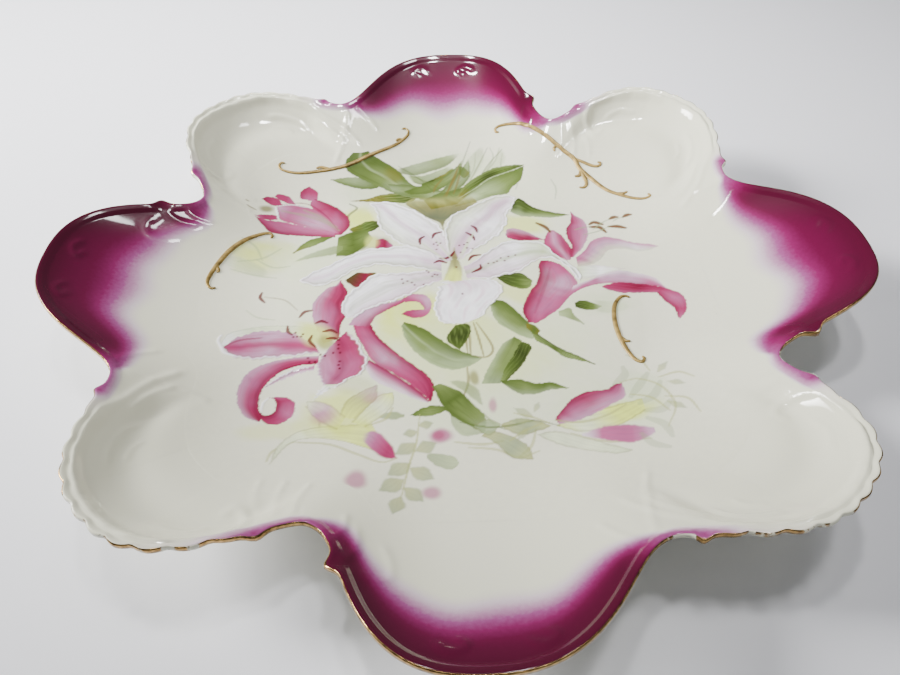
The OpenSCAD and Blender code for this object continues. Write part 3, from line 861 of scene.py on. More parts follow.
# leaves and stems behind the flowers
ghost = {"strength": 0.5, "soft": 1.2, "fade": (0.2, 0.2)}
petal("2,68 5,75 8,82 13,88", "6,66 10,73 13,80 13,88", ["greenWhite", "greyLeaf"], **ghost)
petal("8,68 13,74 18,80 20,86", "12,67 18,73 22,79 20,86", ["greenWhite", "paleLeaf"], **ghost)
for path in ("4,60 6,68 9,76 10,84", "10,66 14,73 18,79 20,85", "22,68 20,75 21,82", "40,55 41,61 39.5,66",
             "12,70 17,80 16,86", "24,72 26,66 25,62"):
    stroke(path, "greyLeaf", 0.35, 0.45)
wash(-34, -38, 6, 4, "paleOlive", 0.3, seed=2.1)
petal("-23,74 -17,77 -10,80 -3,82.5 4,84.5", "-23,73 -16,71.5 -9,74 -2,77.5 4,84.5",
      ["leaf", "greyLeaf", "midLeaf", "paleLeaf"], rightTone=("leaf", 0.35, 0.9), streaks=("leaf", 0.4),
      soft=0.7,
      strength=0.85, fade=(0.1, 0.2))
petal("-19,71 -12,71.5 -6,74.5 0,77.5", "-17,68 -12,66 -6,69 -1,72.5 0,77.5",
      ["midLeaf", "greyLeaf", "paleLeaf"],
      rightTone=("leaf", 0.3, 0.8), streaks=("leaf", 0.3), soft=0.6, strength=0.9, fade=(0.1, 0.2))
petal("-13,66.5 -8,69.5 -3,73 0,76", "-12,64.5 -7,65 -2,69.5 1,74 0,76",
      ["leaf", "deepLeaf", "olive", "midLeaf"],
      streaks=("midLeaf", 0.4), soft=0.6)
petal("-49,66.5 -44,68 -38,68.5 -33,66 -29.5,64.5", "-49,66.5 -43,64 -37,62.7 -32,63 -29.5,64.5",
      ["midLeaf", "greyLeaf", "leaf"], rightTone=("leaf", 0.35, 0.9), streaks=("leaf", 0.3), soft=0.4)
petal("-42,55.5 -35,57 -28,60 -20,61 -14.5,58.5", "-42,55.5 -34,55.5 -27,55 -20,54.5 -16,56 -14.5,58.5",
      ["olive", "olive", "leaf", "deepLeaf"], streaks=("paleOlive", 0.5), soft=0.5, fade=(0.15, 0))
petal("-8,55 -14,57 -22,60 -30,64.5 -37,68 -42.5,71.5 -43.5,76 -40,81 -37.5,84",
      "-8,59 -13,62.5 -18,68 -22,73.5 -27,77 -32,80 -36,83 -37.5,84",
      ["midLeaf", "greyLeaf", "midLeaf", "leaf", "leaf"], rightTone=("leaf", 0.3, 0.8),
      leftTone=("leaf", 0.25, 0.6), rib=("paleLeaf", 0.6, 0.6), streaks=("deepLeaf", 0.45), soft=0.35)
wash(-24, 71, 5, 3.5, "olive", 0.5, -45, seed=1.1)
brushed = {"leftTone": ("leaf", 0.3, 0.8), "rightTone": ("leaf", 0.3, 0.7), "streaks": ("deepLeaf", 0.5),
           "soft": 0.8}
petal("-26,66 -18,66 -10,64 -2,62 6,61", "-24,61 -18,59 -10,56 -2,54 6,55",
      ["greyLeaf", "midLeaf", "paleLeaf", "midLeaf"],
      **brushed)
petal("-20,62 -12,66 -4,71 2,77 4,80", "-17,60 -9,61 -2,66 3,72 4,80", ["leaf", "midLeaf", "greyLeaf"],
      **brushed)
petal("-6,60 -2,67 3,74 7,81", "-3,58 3,64 7,71 7,81", ["midLeaf", "greyLeaf", "paleLeaf"], **brushed)
petal("-12,56 -7,60 -1,62 7,66", "-9,50 -3,52 3,54 10,58", ["leaf", "midLeaf", "leaf"], **brushed)
for path in ("-2,60 2,72 6,84 8,90", "4,62 10,75 15,86", "9,66 15,77 21,84", "-8,62 -14,70 -22,76",
             "0,58 -8,66 -18,72"):
    stroke(path, "leaf", 0.4, 0.45)
for path in ("2,75 -1,66 -3,58", "4,77 2,68 0,60", "-4,70 -7,65 -8,61", "3,78 0,68 -4,58"):
    stroke(path, "stem", 0.45, 0.6)
petal("2.5,77 5,76 7,73", "2.5,77 3,72 5,70 7,73", ["leaf", "leaf", "olive"], soft=0.5, strength=0.8)
petal("3,56 9,63.5 15,69 22,71.5 29.3,73.8",
      "0,51.5 8,54.5 15,58 21,59.5 22.5,61 23,62.5 27,66.5 28.5,70 29.3,73.8",
      ["greenWhite", "paleLeaf", "midLeaf", "leaf"], leftTone=("leaf", 0.25, 0.8),
      rightTone=("leaf", 0.25, 0.5),
      streaks=("leaf", 0.4), soft=0.35)
petal("1,58 5,66 11,71.5 17,74.8 24,75.3 29.5,74.3", "3,56 9,63.5 15,69 22,71.5 29.5,74.3",
      ["olive", "leaf", "deepLeaf", "leaf", "deepLeaf"], leftTone=("midLeaf", 0.3, 0.7),
      streaks=("midLeaf", 0.5), soft=0.35)
stroke("2,57 9,63.7 15,69.2 22,71.8 28,73.6", "paleLeaf", 0.35, 0.7)
petal("-4.9,37 -6,41.5 -10,44.5 -14.5,49 -19,54 -15,59", "-4.5,37 -4,42 -1,46 4,49.5 9,54 6,60",
      ["olive", "deepLeaf", "olive", "paleOlive"], streaks=("deepLeaf", 0.6), soft=0.9, strength=0.9,
      fade=(0, 0.2))
petal("23.5,54 26,56.3 31,50.5 37,47.5 45,45.3", "21.5,48 25,45.2 31,44.3 38,43.8 45,45.3",
      ["deepLeaf", "leaf", "midLeaf", "leaf"], leftTone=("deepLeaf", 0.35, 0.8),
      rightTone=("paleLeaf", 0.3, 0.7),
      streaks=("midLeaf", 0.4))
petal("-29,43 -33,43.5 -37,41 -40,39", "-29,39.5 -32,37 -36,36 -39.5,37.5 -40,39",
      ["deepLeaf", "leaf", "olive"],
      streaks=("midLeaf", 0.5), soft=0.5)
petal("-41,35 -34,37 -31,33", "-42,28 -39,25 -34,27 -31,33", ["midLeaf", "midLeaf", "olive"],
      streaks=("leaf", 0.6), soft=1.2, strength=0.85, fade=(0.15, 0))
petal("-60.5,24 -57,30 -53,33.5 -47.5,34.5", "-60.5,24 -57,27 -52,29.5 -46,34",
      ["olive", "midLeaf", "leaf"], leftTone=("leaf", 0.3, 0.6), streaks=("leaf", 0.4), soft=0.5,
      fade=(0.1, 0))
petal("-44,34 -39,37 -33,38", "-44,23 -38,24 -32,31", ["midLeaf", "leaf", "midLeaf"], **brushed)
petal("-30,32 -27,32.5 -23.5,29", "-30,27 -27,26 -23.5,27", ["rose", "crimson", "pink"], soft=0.6)
wash(-31.5, 31, 3, 4, "yellow", 0.6, seed=8.8)
stroke("-42,41 -41,47 -38,51.5 -41,54", "leaf", 0.5, 0.7)
petal("-60,20 -53,25 -46,28.5 -42,29", "-60,20 -52,22.5 -45,24 -42,26.5",
      ["paleLeaf", "greyLeaf", "midLeaf"],
      rightTone=("midLeaf", 0.3, 0.7), soft=0.8, strength=0.8, fade=(0.15, 0))
petal("-84,19 -78,20 -72,18 -66,14", "-84,16 -77,14 -70,12 -66,14", ["greenWhite", "paleLeaf"], **ghost)
for path in ("-80,14 -72,12.4 -64,11.6", "-78,18 -70,21 -64,27", "-78,29 -73,26 -70,20",
             "-60,18 -66,17 -72,20"):
    stroke(path, "paleLeaf", 0.4, 0.5)

# the closed bud
budLook = {"streaks": ("crimson", 0.35), "soft": 0.3}
petal("-60,55 -60,59 -57,62", "-53.5,54 -53.5,59 -57,62", ["pink", "rose", "rose"],
      leftTone=("crimson", 0.3, 0.7),
      **budLook)
petal("-61,51 -64,55 -68,55.8 -69.5,54", "-61,51 -66,52 -69.5,54", ["pink", "rose", "rose"], **budLook)
petal("-66,50 -68,53 -72,53.2 -73.8,51.2", "-66,50 -70,49 -73.8,51.2", ["rose", "rose", "crimson"],
      **budLook)
wash(-71.5, 46.5, 3, 2.2, "olive", 0.8, 20, seed=3)
petal("-67,44 -71,43.5 -75.5,41.5", "-67,42 -71,40.5 -75.5,41.5", ["rose", "rose", "pink"], **budLook)
petal("-43,35.3 -40.3,40 -41,46 -45,51 -51,54.5 -55,55.5", "-46,35.5 -48,41 -52,47 -56,52 -55,55.5",
      ["rose", "pink", "rose", "pink"], leftTone=("crimson", 0.4, 0.9), **budLook)
petal("-46,38 -60,40.5 -66,41 -70,40.5 -75,41", "-45,34 -56,34.6 -68,34.3 -72,37.5 -75,41",
      ["pink", "pink", "rose"], rightTone=("crimson", 0.4, 0.85), **budLook)
petal("-44,36 -46,40 -50,46 -56,50.5 -63,51 -68,49", "-46,37 -54,39 -62,41 -66.5,42.5 -68,49",
      ["pink", "lilac", "pink", "lilac"], leftTone=("rose", 0.25, 0.6), rightTone=("rose", 0.2, 0.5),
      streaks=("rose", 0.5), soft=0.3)
for path in ("-44,38 -50,43 -57,46 -66,47", "-45,40 -52,46 -58,49"):
    stroke(path, "greyLeaf", 0.8, 0.4)
stroke("-66,50.5 -60,52.5 -55,51.5 -49,46 -44.5,38.5", "crimson", 0.3, 0.6)
stroke("-68.5,48.5 -67.5,45 -67,42.5", "white", 0.4, 0.9, 0.1)
stroke("-68,49 -63,51 -56,50.5", "white", 0.3, 0.5)
for path in ("-81,49.5 -79.5,48.6 -78,48.2", "-78.5,46 -77,45.2 -75,44.5"):
    stroke(path, "stem", 0.35, 0.7)

# the left pink lily
pinkLook = {"streaks": ("rose", 0.5), "soft": 0.3}
petal("-77,-22 -75,-16 -65,-12 -55,-12 -46,-14", "-76,-23 -70,-19 -64,-17 -58,-17.5 -48,-20",
      ["white", "greenWhite", "cream", "greenWhite"], soft=0.5, strength=0.8, edge=("greyLeaf", 0.3, 0.4))
petal("-45,-20 -49,-10 -50,-4 -49.5,0 -46,6 -43,7.5 -41.5,10",
      "-40,-18 -40,-12 -38.5,-7 -40,-2 -38.5,3 -40,7 -41.5,10",
      ["pink", "pink", "rose", "rose"], leftTone=("lilac", 0.3, 0.8), rightTone=("crimson", 0.4, 0.95),
      **pinkLook)
petal("-48,-20 -55,-15.5 -62,-14 -68,-15 -73,-18.5 -76,-23.5",
      "-46,-24 -54,-25.5 -60,-26 -66,-27.3 -71,-27.5 -74.5,-26 -76,-23.5",
      ["rose", "pink", "lilac", "pink", "rose"], leftTone=("lilac", 0.25, 0.8),
      rightTone=("lilac", 0.25, 0.7),
      rib=("rose", 1.6, 0.8), streaks=("crimson", 0.4), enamel=(0, 0.7))
stroke("-77.5,-18 -78,-20.5 -76.5,-23.5 -75,-26 -71.5,-26.8", "white", 0.45, 0.9, 0.14)
stroke("-75.5,-23 -73,-20.2 -70,-18.6 -65,-17.4", "crimson", 0.4, 0.6)
petal("-46,-25.5 -54,-26 -61,-28 -66.5,-33 -68.5,-40 -67.5,-47 -64.5,-51.5 -60.5,-53",
      "-46,-29 -52,-29.5 -57,-32 -60.5,-37 -61.8,-42 -61.5,-47 -60,-51 -60.5,-53",
      ["rose", "rose", "pink", "pink", "rose", "crimson"], leftTone=("lilac", 0.3, 0.8),
      rightTone=("crimson", 0.4, 0.9), streaks=("rose", 0.4))
petal("-47,-31.5 -52,-33 -57,-36 -61,-39", "-47,-29.5 -52,-30.5 -57,-33.5 -61,-38.5",
      ["pink", "lilac", "pink"],
      leftTone=("blush", 0.3, 0.8), streaks=("rose", 0.5), enamel=(0, 0.9))
petal("-61,-51 -58.5,-53.5 -55,-53.3 -52,-50.5 -51,-46.5 -52.3,-43.5 -55.5,-42.3 -59,-43",
      "-60.5,-50 -58.5,-50 -57,-48.5 -56.8,-46 -57.3,-44 -58.5,-43 -59,-43",
      ["crimson", "rose", "pink", "rose", "pink"], rightTone=("crimson", 0.35, 0.9),
      streaks=("crimson", 0.3))
stroke("-59.3,-43.2 -60.6,-45.5 -60.6,-49", "white", 0.3, 0.8, 0.1)
wash(-48, -16, 8, 5, "yellow", 0.75, -35, seed=4.1)
wash(-44, -20, 4, 3, "olive", 0.55, -35, seed=4.6)
petal("-31,-31 -28,-36 -22,-40 -16,-43.5 -11.5,-45.5", "-30,-27.5 -24,-32 -18,-37 -13,-42 -11,-45",
      ["pink", "pink", "rose"], rightTone=("crimson", 0.35, 0.9), leftTone=("blush", 0.4, 0.9),
      streaks=("rose", 0.3), soft=0.5)
petal("-36,-12 -34,-18 -31,-24 -29,-28 -24,-32 -18,-37 -13,-42 -10.8,-45",
      "-30,-12 -27,-18 -22,-24 -16,-30 -11.5,-34.5 -9.5,-39 -10,-43 -10.8,-45",
      ["rose", "pink", "lilac", "pink", "rose", "crimson"], leftTone=("rose", 0.3, 0.8),
      rightTone=("crimson", 0.35, 0.95), streaks=("rose", 0.5))
petal("-37.5,-12 -35,-7.5 -30,-3.8 -24,-1.5 -19,0.3", "-30.5,-13 -28.5,-8.5 -25,-5.5 -21,-3 -19,-1.5",
      ["pink", "lilac", "pink", "rose"], rightTone=("crimson", 0.35, 0.8), leftTone=("lilac", 0.3, 0.7),
      streaks=("rose", 0.3), soft=0.3)
petal("-20,-.5 -17,2 -12.5,2 -10,-1 -10,-5 -12,-8.5 -16,-9.2 -20,-7.5",
      "-18.5,-1.8 -16,-1.3 -13.5,-2.5 -12.3,-5 -13.5,-5.5 -16,-5.5 -18.5,-6 -20,-7.5",
      ["rose", "pink", "lilac", "pink", "rose", "crimson"], rightTone=("rose", 0.35, 0.8),
      streaks=("rose", 0.3))
petal("-43,-22 -46,-28 -45.5,-33 -43.5,-38 -43,-39.5",
      "-38,-15 -34,-19 -32,-24 -30.5,-28 -32,-33 -36,-35.5 -39,-38 -43,-39.5",
      ["rose", "rose", "pink", "pink", "lilac"], rightTone=("rose", 0.3, 0.6), leftTone=("lilac", 0.3, 0.7),
      rib=("crimson", 1.8, 0.5), streaks=("crimson", 0.35), enamel=(0.3, 1))
petal("-43,-37.5 -45,-40.5 -46,-43.5", "-39,-37.5 -43,-40.5 -46,-43.5", ["greenWhite", "white", "cream"],
      soft=0.7, enamel=(0.6, 0))
for path in ("-54,-8 -52.5,-5.5 -50,-4.8", "-57.5,-12 -57,-14.5 -55.5,-16",
             "-49,-16.5 -49.5,-19 -47.5,-21.5",
             "-48.5,-11 -46.5,-10 -44.5,-10.8", "-45.5,-14.8 -43,-14.3 -41,-15.5",
             "-44,-18 -42,-17.8 -40,-18.8",
             "-68,4 -68.3,1.5 -66.5,-.8"):
    stroke(path, "brown", 0.6, 0.9, 0.06)
stroke("-67,2 -60,.5 -55,-4.5", "stem", 0.25, 0.6)
stroke("-72,-5 -68,-8 -62,-9", "paleLeaf", 0.3, 0.5)
dots("-53.8,-16.8 -52.5,-16.8 -54.5,-15 -52,-15.8 -55,-17 -40,-22.5 -39.3,-24.3 -40,-20.8 -41.5,-24.3 "
     "-39.2,-28 -39.5,-29.5 -39,-31 -49.3,-26.3 -45.5,-25 -47,-28 -44,-25.5 -48.7,-28")

# the right pink lily
petal("43,16 50,15.5 56,14.5 60,13.5", "42,8 48,9.5 55,12 60,13.5", ["greenWhite", "white", "cream"],
      soft=0.6,
      strength=0.85, edge=("lilac", 0.4, 0.4))
petal("18.5,34 20,37.5 25,36.5 29,33.5 32.5,30.5", "19,32 22,30.5 27,30.2 32.5,30.5",
      ["rose", "crimson", "rose"],
      leftTone=("lilac", 0.35, 0.8), streaks=("rose", 0.3))
petal("43,20 47,24 50,29 55,31.5 60,30 65,27 70,25 73.5,23",
      "43,15 48,16 52,19 56,24 62,24 66,22 70,22 73.5,23",
      ["pink", "lilac", "lilac", "blush", "lilac"], leftTone=("pink", 0.3, 0.8),
      rightTone=("greenWhite", 0.4, 0.7),
      streaks=("pink", 0.4), soft=0.5)
petal("41,20 42.5,26 41.5,32 42,37 44,41 45,47", "42,20 46,25 49,31 50,37 49,42 46.5,44.5 45,47",
      ["rose", "pink", "pink", "rose"], leftTone=("crimson", 0.35, 0.9), rightTone=("lilac", 0.3, 0.7),
      **pinkLook)
petal("39.5,18.5 35,22.5 32.5,27 33,31 35,35.5 37,36", "41,19 42.3,24 41,29 39.5,33 37,36",
      ["rose", "rose", "pink", "pink"], leftTone=("rose", 0.3, 0.8), rightTone=("crimson", 0.3, 0.7),
      rib=("lilac", 1.2, 0.6), **pinkLook)
petal("22.5,-12.5 21,-8 22,-3 24.5,2.5 27.3,7 28.7,12 29,16.5 30.5,18.8 34,18.3",
      "25,-13 29,-10 34,-5.5 38,0 41.5,5 41,9 39.5,12.5 37,16.2 34,18.3",
      ["rose", "pink", "pink", "lilac", "pink", "rose"], leftTone=("crimson", 0.32, 0.95),
      rightTone=("rose", 0.2, 0.5), streaks=("rose", 0.4))
stroke("33,15 31,8 28,0 25,-8", "crimson", 0.6, 0.3)
petal("40,5 46,8 52,11 58,12.5 64,10.7 69,8 72,2 73,0", "37,-1 42,3 48,5.5 54,6 60,5.5 66,4.5 70,3 73,0",
      ["pink", "pink", "lilac", "lilac", "pink", "pink"], leftTone=("blush", 0.3, 0.8),
      rightTone=("rose", 0.25, 0.5), streaks=("rose", 0.35))
petal("50,4.5 55,6.3 61,5.8 67,4.5 71,2.5 73,0", "50,4 53,2 57,.9 63,.8 69,.3 73,0",
      ["rose", "crimson", "rose"],
      streaks=("rose", 0.4), rightTone=("pink", 0.25, 0.5))
petal("68,.5 70,-4 72,-8 72.5,-13.5", "72,2 75.5,-1 76.8,-5 75.5,-10 72.5,-13.5",
      ["rose", "pink", "rose", "pink"],
      leftTone=("crimson", 0.3, 0.8), rightTone=("rose", 0.25, 0.6), streaks=("rose", 0.4))
for path in ("51,39 53,40 56,38.5", "51,37.5 54.5,37 56.5,34", "58,37 61,36.5 64,35",
             "59,41 60.5,41.7 62,41.5",
             "64,41 65.5,41.7 67,41.5", "31,40.5 34,38 35.5,35"):
    stroke(path, "stem", 0.9, 0.9, 0.04)
    stroke(path, "brown", 0.4, 0.7)
for path in ("45,36 49,37.5 51,37.6", "48,33 54,35 58,37", "52,36 56,39.5 59,41", "60,39.5 62,40.7 64,41"):
    stroke(path, "greyLeaf", 0.3, 0.6)
petal("39,-3.5 42,-2.3 45,-3.5 48,-5.5", "39,-5.5 42,-7 45.5,-7 48,-5.5", ["deepLeaf", "leaf", "midLeaf"],
      streaks=("midLeaf", 0.4), soft=0.4)
petal("45,-2.5 50,-3 55,-4 58,-6", "45,-8 50,-8.5 55,-7.5 58,-6", ["paleLeaf", "greenWhite"], **ghost)
petal("33,-7.5 37,-6 38,-9 41,-14", "33,-9.5 36,-11 38.5,-12.5 41,-14", ["paleLeaf", "midLeaf", "greyLeaf"],
      leftTone=("midLeaf", 0.3, 0.7), soft=0.5, strength=0.9)

# leaves in front, below the white lily
petal("13.5,10.5 18,12 22.5,12 26,8", "14,9 17,6 21,4 24.5,4.5 26,8", ["deepLeaf", "leaf", "midLeaf"],
      leftTone=("deepLeaf", 0.3, 0.8), streaks=("midLeaf", 0.5), soft=0.4)
for path in ("1,-12 1.3,-20 1.5,-26", "2.4,-14 2.5,-20 2.4,-26", "4,-12 5.5,-20 6.5,-27",
             "5,-12 9,-21 9.5,-25 7,-27.5 2,-26.5", "1,-31 1,-38 -1,-44"):
    stroke(path, "stem", 0.4, 0.7)
petal("-2,-13 -4.5,-17 -5,-20 -3,-22.5 -1,-24", "-2,-13 2,-12.5 3,-16 1,-21 -1,-24",
      ["leaf", "deepLeaf", "leaf"],
      streaks=("midLeaf", 0.5), soft=0.5)
petal("10.5,-1.5 15,-2 19,-7 22,-12 24,-17", "10,-4 11.5,-11 16,-16 21,-19.5 25,-20",
      ["leaf", "midLeaf", "midLeaf", "paleLeaf"], leftTone=("leaf", 0.4, 0.9),
      rightTone=("paleLeaf", 0.3, 0.8),
      streaks=("deepLeaf", 0.4))
petal("22,-14.5 26,-19 31,-24 37,-28 42,-31.8", "24,-21 28,-24 32,-28 36,-29.5 42,-31.8",
      ["midLeaf", "leaf", "midLeaf", "leaf"], leftTone=("deepLeaf", 0.35, 0.7), streaks=("paleLeaf", 0.4))
petal("21.5,-13 24,-13.5 26,-16.5", "21.5,-15 24,-18 26,-16.5", ["olive", "leaf", "olive"], soft=0.5)
petal("-20,-13 -18.5,-19 -15,-25 -10,-30 -4,-32.5 2,-31 6,-28",
      "-19,-11 -13,-14 -8,-18.5 -3,-23 2,-26 6,-28",
      ["leaf", "midLeaf", "greyLeaf", "paleLeaf"], rightTone=("leaf", 0.35, 0.9),
      leftTone=("paleLeaf", 0.25, 0.8),
      rib=("paleLeaf", 0.5, 0.5), streaks=("leaf", 0.4))
wash(3, -36, 1.6, 3.6, "olive", 0.7, seed=2)
petal("5,-38.5 7,-33.5 10,-27.5 13,-22 17,-18.8", "11,-38.5 14,-33 17,-27 19.5,-21.5 17,-18.8",
      ["greyLeaf", "midLeaf", "midLeaf", "leaf"], leftTone=("paleLeaf", 0.3, 0.8), streaks=("leaf", 0.3))
petal("11,-37.5 13,-32 16,-27 19,-21.5 21.5,-22", "12.5,-38 17,-33 20,-28.5 22,-24 21.5,-22",
      ["midLeaf", "leaf", "deepLeaf", "leaf"], rightTone=("deepLeaf", 0.35, 0.8), streaks=("midLeaf", 0.4))
petal("11,-37.5 17,-37 22,-38.8 27,-38.5 32,-41", "12,-39 16,-42.5 21,-43 26,-41.5 32,-41",
      ["leaf", "midLeaf", "leaf", "midLeaf"], leftTone=("leaf", 0.3, 0.8),
      rightTone=("greyLeaf", 0.35, 0.8),
      streaks=("leaf", 0.3))
petal("-5,-50 0,-52 4,-53.5 5,-57", "-5,-51 -4,-55 -1,-58 5,-57", ["greyLeaf", "paleLeaf", "greyLeaf"],
      soft=0.8, strength=0.8, streaks=("midLeaf", 0.3))
petal("-10,-39 -8,-45 -5,-50 0,-54 5,-57", "-7.5,-38 -2,-41 2,-46 5.5,-51 5,-57",
      ["midLeaf", "leaf", "midLeaf", "greyLeaf"], streaks=("deepLeaf", 0.5), leftTone=("leaf", 0.25, 0.8),
      soft=0.5)
petal("-17,-50 -13,-47.2 -9,-46.5 -5.5,-47.5", "-17,-50 -12,-50.5 -8,-49.5 -5.5,-47.5",
      ["leaf", "midLeaf", "leaf"],
      leftTone=("leaf", 0.3, 0.7))
petal("-26,-49.5 -22,-48.5 -18.5,-49.5", "-26,-50.5 -22,-51.5 -18.5,-50.5", ["greyLeaf", "midLeaf"],
      soft=0.7,
      strength=0.8)
petal("-5,-37 -2,-40 1,-43 5,-47", "-5,-37 0,-37.5 4,-41 5,-47", ["greyLeaf", "midLeaf", "greyLeaf"],
      soft=0.8,
      strength=0.7)
stroke("5,-50 8,-54 11,-56", "midLeaf", 0.4, 0.6)

# pale flowers and sprigs low on the left and right
for path in ("-50,-60 -40,-60.5 -32,-64 -25,-67 -20.5,-65.5", "-30,-50 -29.5,-54 -26,-58",
             "-50,-60 -55,-64 -56,-68", "-48,-46 -44,-50 -43,-55", "-22,-47 -24,-51 -28,-53",
             "0,-62 8,-63 14,-66 20,-64", "-4,-60 4,-61 10,-60", "14,-66 18,-62 20,-56",
             "30,-58 40,-62 52,-62"):
    stroke(path, "paleOlive", 0.45, 0.6)
drawn = {"edge": ("olive", 0.35, 0.5), "soft": 0.6, "strength": 0.85}
petal("-28,-53 -36,-53 -44,-54 -50,-56.5 -54,-62 -55,-69",
      "-22,-65 -30,-61.5 -38,-58.8 -46,-58.5 -51,-61 -55,-69",
      ["yellow", "yellow", "cream", "greenWhite"], **drawn)
petal("-34,-52 -30,-46 -26,-42 -22,-41", "-30,-54 -25,-50 -22,-46 -22,-41", ["yellow", "cream", "yellow"],
      **drawn)
petal("-38,-50 -36,-44 -31,-40 -27,-38", "-33,-51 -30,-47 -27,-43 -27,-38",
      ["yellow", "paleOlive", "lilac"], **drawn)
petal("-38,-55 -43,-52 -47,-48 -48,-44", "-36,-50 -40,-46 -44,-44 -48,-44", ["yellow", "lilac", "cream"],
      **drawn)
wash(-43, -50, 4, 3, "pink", 0.45, 20, seed=1.4)
wash(-28, -43, 3.4, 2.2, "pink", 0.3, 20, seed=2.4)
petal("-31,-56.5 -27,-55.5 -22.5,-60 -20.5,-65.5", "-31,-58 -28,-62 -24,-65.5 -20.5,-65.5",
      ["lilac", "pink", "rose", "rose"], streaks=("rose", 0.3), soft=1.0, fade=(0.2, 0))
for x, y, wide, deep, much in ((-31, -74, 3.2, 4, 0.75), (-11, -78, 2.8, 2.6, 0.75),
                               (-8, -57.5, 3.8, 2.6, 0.9),
                               (8, -47, 1.4, 3, 0.7)):
    wash(x, y, wide, deep, "pink", much, seed=x / 7)
wash(-8.5, -57.5, 2, 1.6, "rose", 0.6, seed=2.6)
stroke("-14,-50 -15,-60 -17,-68 -19,-80", "paleOlive", 0.35, 0.7)
petal("-12,-64 -8,-64 -4,-65.5 -3,-67.5", "-12,-65.5 -9,-68.5 -5,-69.5 -3,-67.5", ["greyLeaf", "paleLeaf"],
      soft=0.6, strength=0.8, edge=("midLeaf", 0.3, 0.5))
for root, tip in (((-15, -60), (-21, -64)), ((-15.5, -63), (-9, -60)), ((-16.5, -67), (-23, -72)),
                  ((-17, -69), (-10, -73)), ((-18, -73), (-25, -78)), ((-18.5, -76), (-13, -81)),
                  ((-19, -79), (-21, -86)), ((-14.5, -56), (-19, -57)), ((-14.5, -54), (-10, -53))):
    leaflet(root, tip, 0.32, soft=1.0, strength=0.75, edge=("midLeaf", 0.4, 0.5))
petal("26,-55 33,-51 41,-49 53,-46", "26,-55 33,-57.5 43,-56.5 53,-51",
      ["yellow", "cream", "yellow", "yellow"],
      **drawn)
petal("33,-58.5 40,-56 47,-56 54,-58", "33,-59 40,-61.5 47,-63 54,-60", ["blush", "pink", "pink", "lilac"],
      streaks=("rose", 0.3), soft=1.0)
petal("20,-58 26,-57 34,-60 42,-64 46,-66", "20,-58 26,-62 34,-65 42,-67 46,-66",
      ["greenWhite", "cream", "greenWhite"],
      **drawn)
petal("4,-58 8,-61 12,-66 18,-67", "6,-56 12,-58 17,-62 18,-67", ["paleOlive", "greyLeaf", "paleOlive"],
      **drawn)
petal("10,-54 15,-52 20,-53 25,-55", "10,-55 15,-58 20,-57 25,-55", ["paleOlive", "greyLeaf", "paleOlive"],
      **drawn)
petal("2,-54 6,-52 10,-54", "2,-55 6,-58 10,-54", ["greyLeaf", "paleLeaf"], **drawn)
stroke("-2,-53 6,-55 13,-54.5 20,-53 27,-55", "leaf", 0.4, 0.6)
for path in ("50,-45 54,-40 57,-36", "52,-48 57,-45 60,-40", "53,-51 58,-51 61,-48", "53,-54 57,-57 58,-62",
             "50,-60 52,-64 56,-66", "46,-40 50,-36 50,-33"):
    stroke(path, "greyLeaf", 1.3, 0.35)
petal("26,-52.5 29,-48.5 33,-44.5 38,-42.3 43,-41.8 46,-40 48.5,-39.3",
      "27,-54.5 32,-53.5 38,-51 44,-47.5 48.5,-44.5 48.5,-39.3",
      ["rose", "pink", "rose", "pink", "rose"], leftTone=("crimson", 0.35, 0.8),
      rightTone=("lilac", 0.4, 0.8),
      streaks=("rose", 0.4), soft=0.4)
for path in ("26,-53 33,-54 41,-52 48,-48", "48,-39 54,-38 60,-42 62,-50 58,-58", "50,-44 56,-46 60,-52",
             "24,-54 20,-52 14,-50", "22,-54 16,-57 12,-60", "58,-35 56,-30 52,-28", "60,-38 66,-37 70,-40",
             "60,-46 66,-48 68,-54"):
    stroke(path, "paleOlive", 0.4, 0.6)
for root, tip in (((20, -52), (14, -48)), ((19, -53), (13, -53)), ((18, -55), (14, -60)),
                  ((20, -50), (22, -46)),
                  ((60, -36), (64, -32)), ((62, -40), (67, -42)), ((60, -48), (65, -52))):
    leaflet(root, tip, 0.2, soft=0.7, strength=0.6, edge=("greyLeaf", 0.3, 0.5))

# the white lily, over everything
petal("-36,14 -29,13.7", "-40,10 -36,6 -33,9 -29,13.7", ["deepLeaf", "crimson", "leaf"], soft=0.6)
whiteLook = {"soft": 0.3, "enamel": (1, 1), "streaks": ("shade", 0.7)}
petal("-6,18 -12,25 -20,29 -26,35 -29.5,41.5 -30,48 -33.5,54.5",
      "-2,20 -3,30 -5,37.5 -9,43 -14,48 -20,52.5 -27,55.5 -33.5,54.5",
      ["mauve", "blush", "white", "white", "white"],
      leftTone=("greenWhite", 0.3, 0.6), rib=("mauve", 1.4, 0.7), seed=1.2, **whiteLook)
petal("-3,22 -4,32 -3.5,40 -1,46 4,50 9,53.5 15,57.5 22,58.5 24.5,57",
      "1,20 6,25 12,30 16,34 19.5,40 20,46 23,52 24.5,57", ["mauve", "blush", "white", "blush", "white"],
      leftTone=("greenWhite", 0.3, 0.8), rib=("lilac", 2.0, 0.7), seed=2.2, **whiteLook)
petal("-6,22 -13,26 -18,28.3 -25,27.5 -32,26.8 -39,23.5 -45,19 -51,15 -56.5,10",
      "-6,14 -14,15.5 -22,17 -30,17.8 -37,15 -42,11 -47,7.5 -52,8 -56.5,10",
      ["mauve", "white", "white", "white", "blush"],
      leftTone=("white", 0.3, 0.8), rightTone=("shade", 0.3, 0.8), rib=("mauve", 1.2, 0.6), seed=3.2,
      **whiteLook)
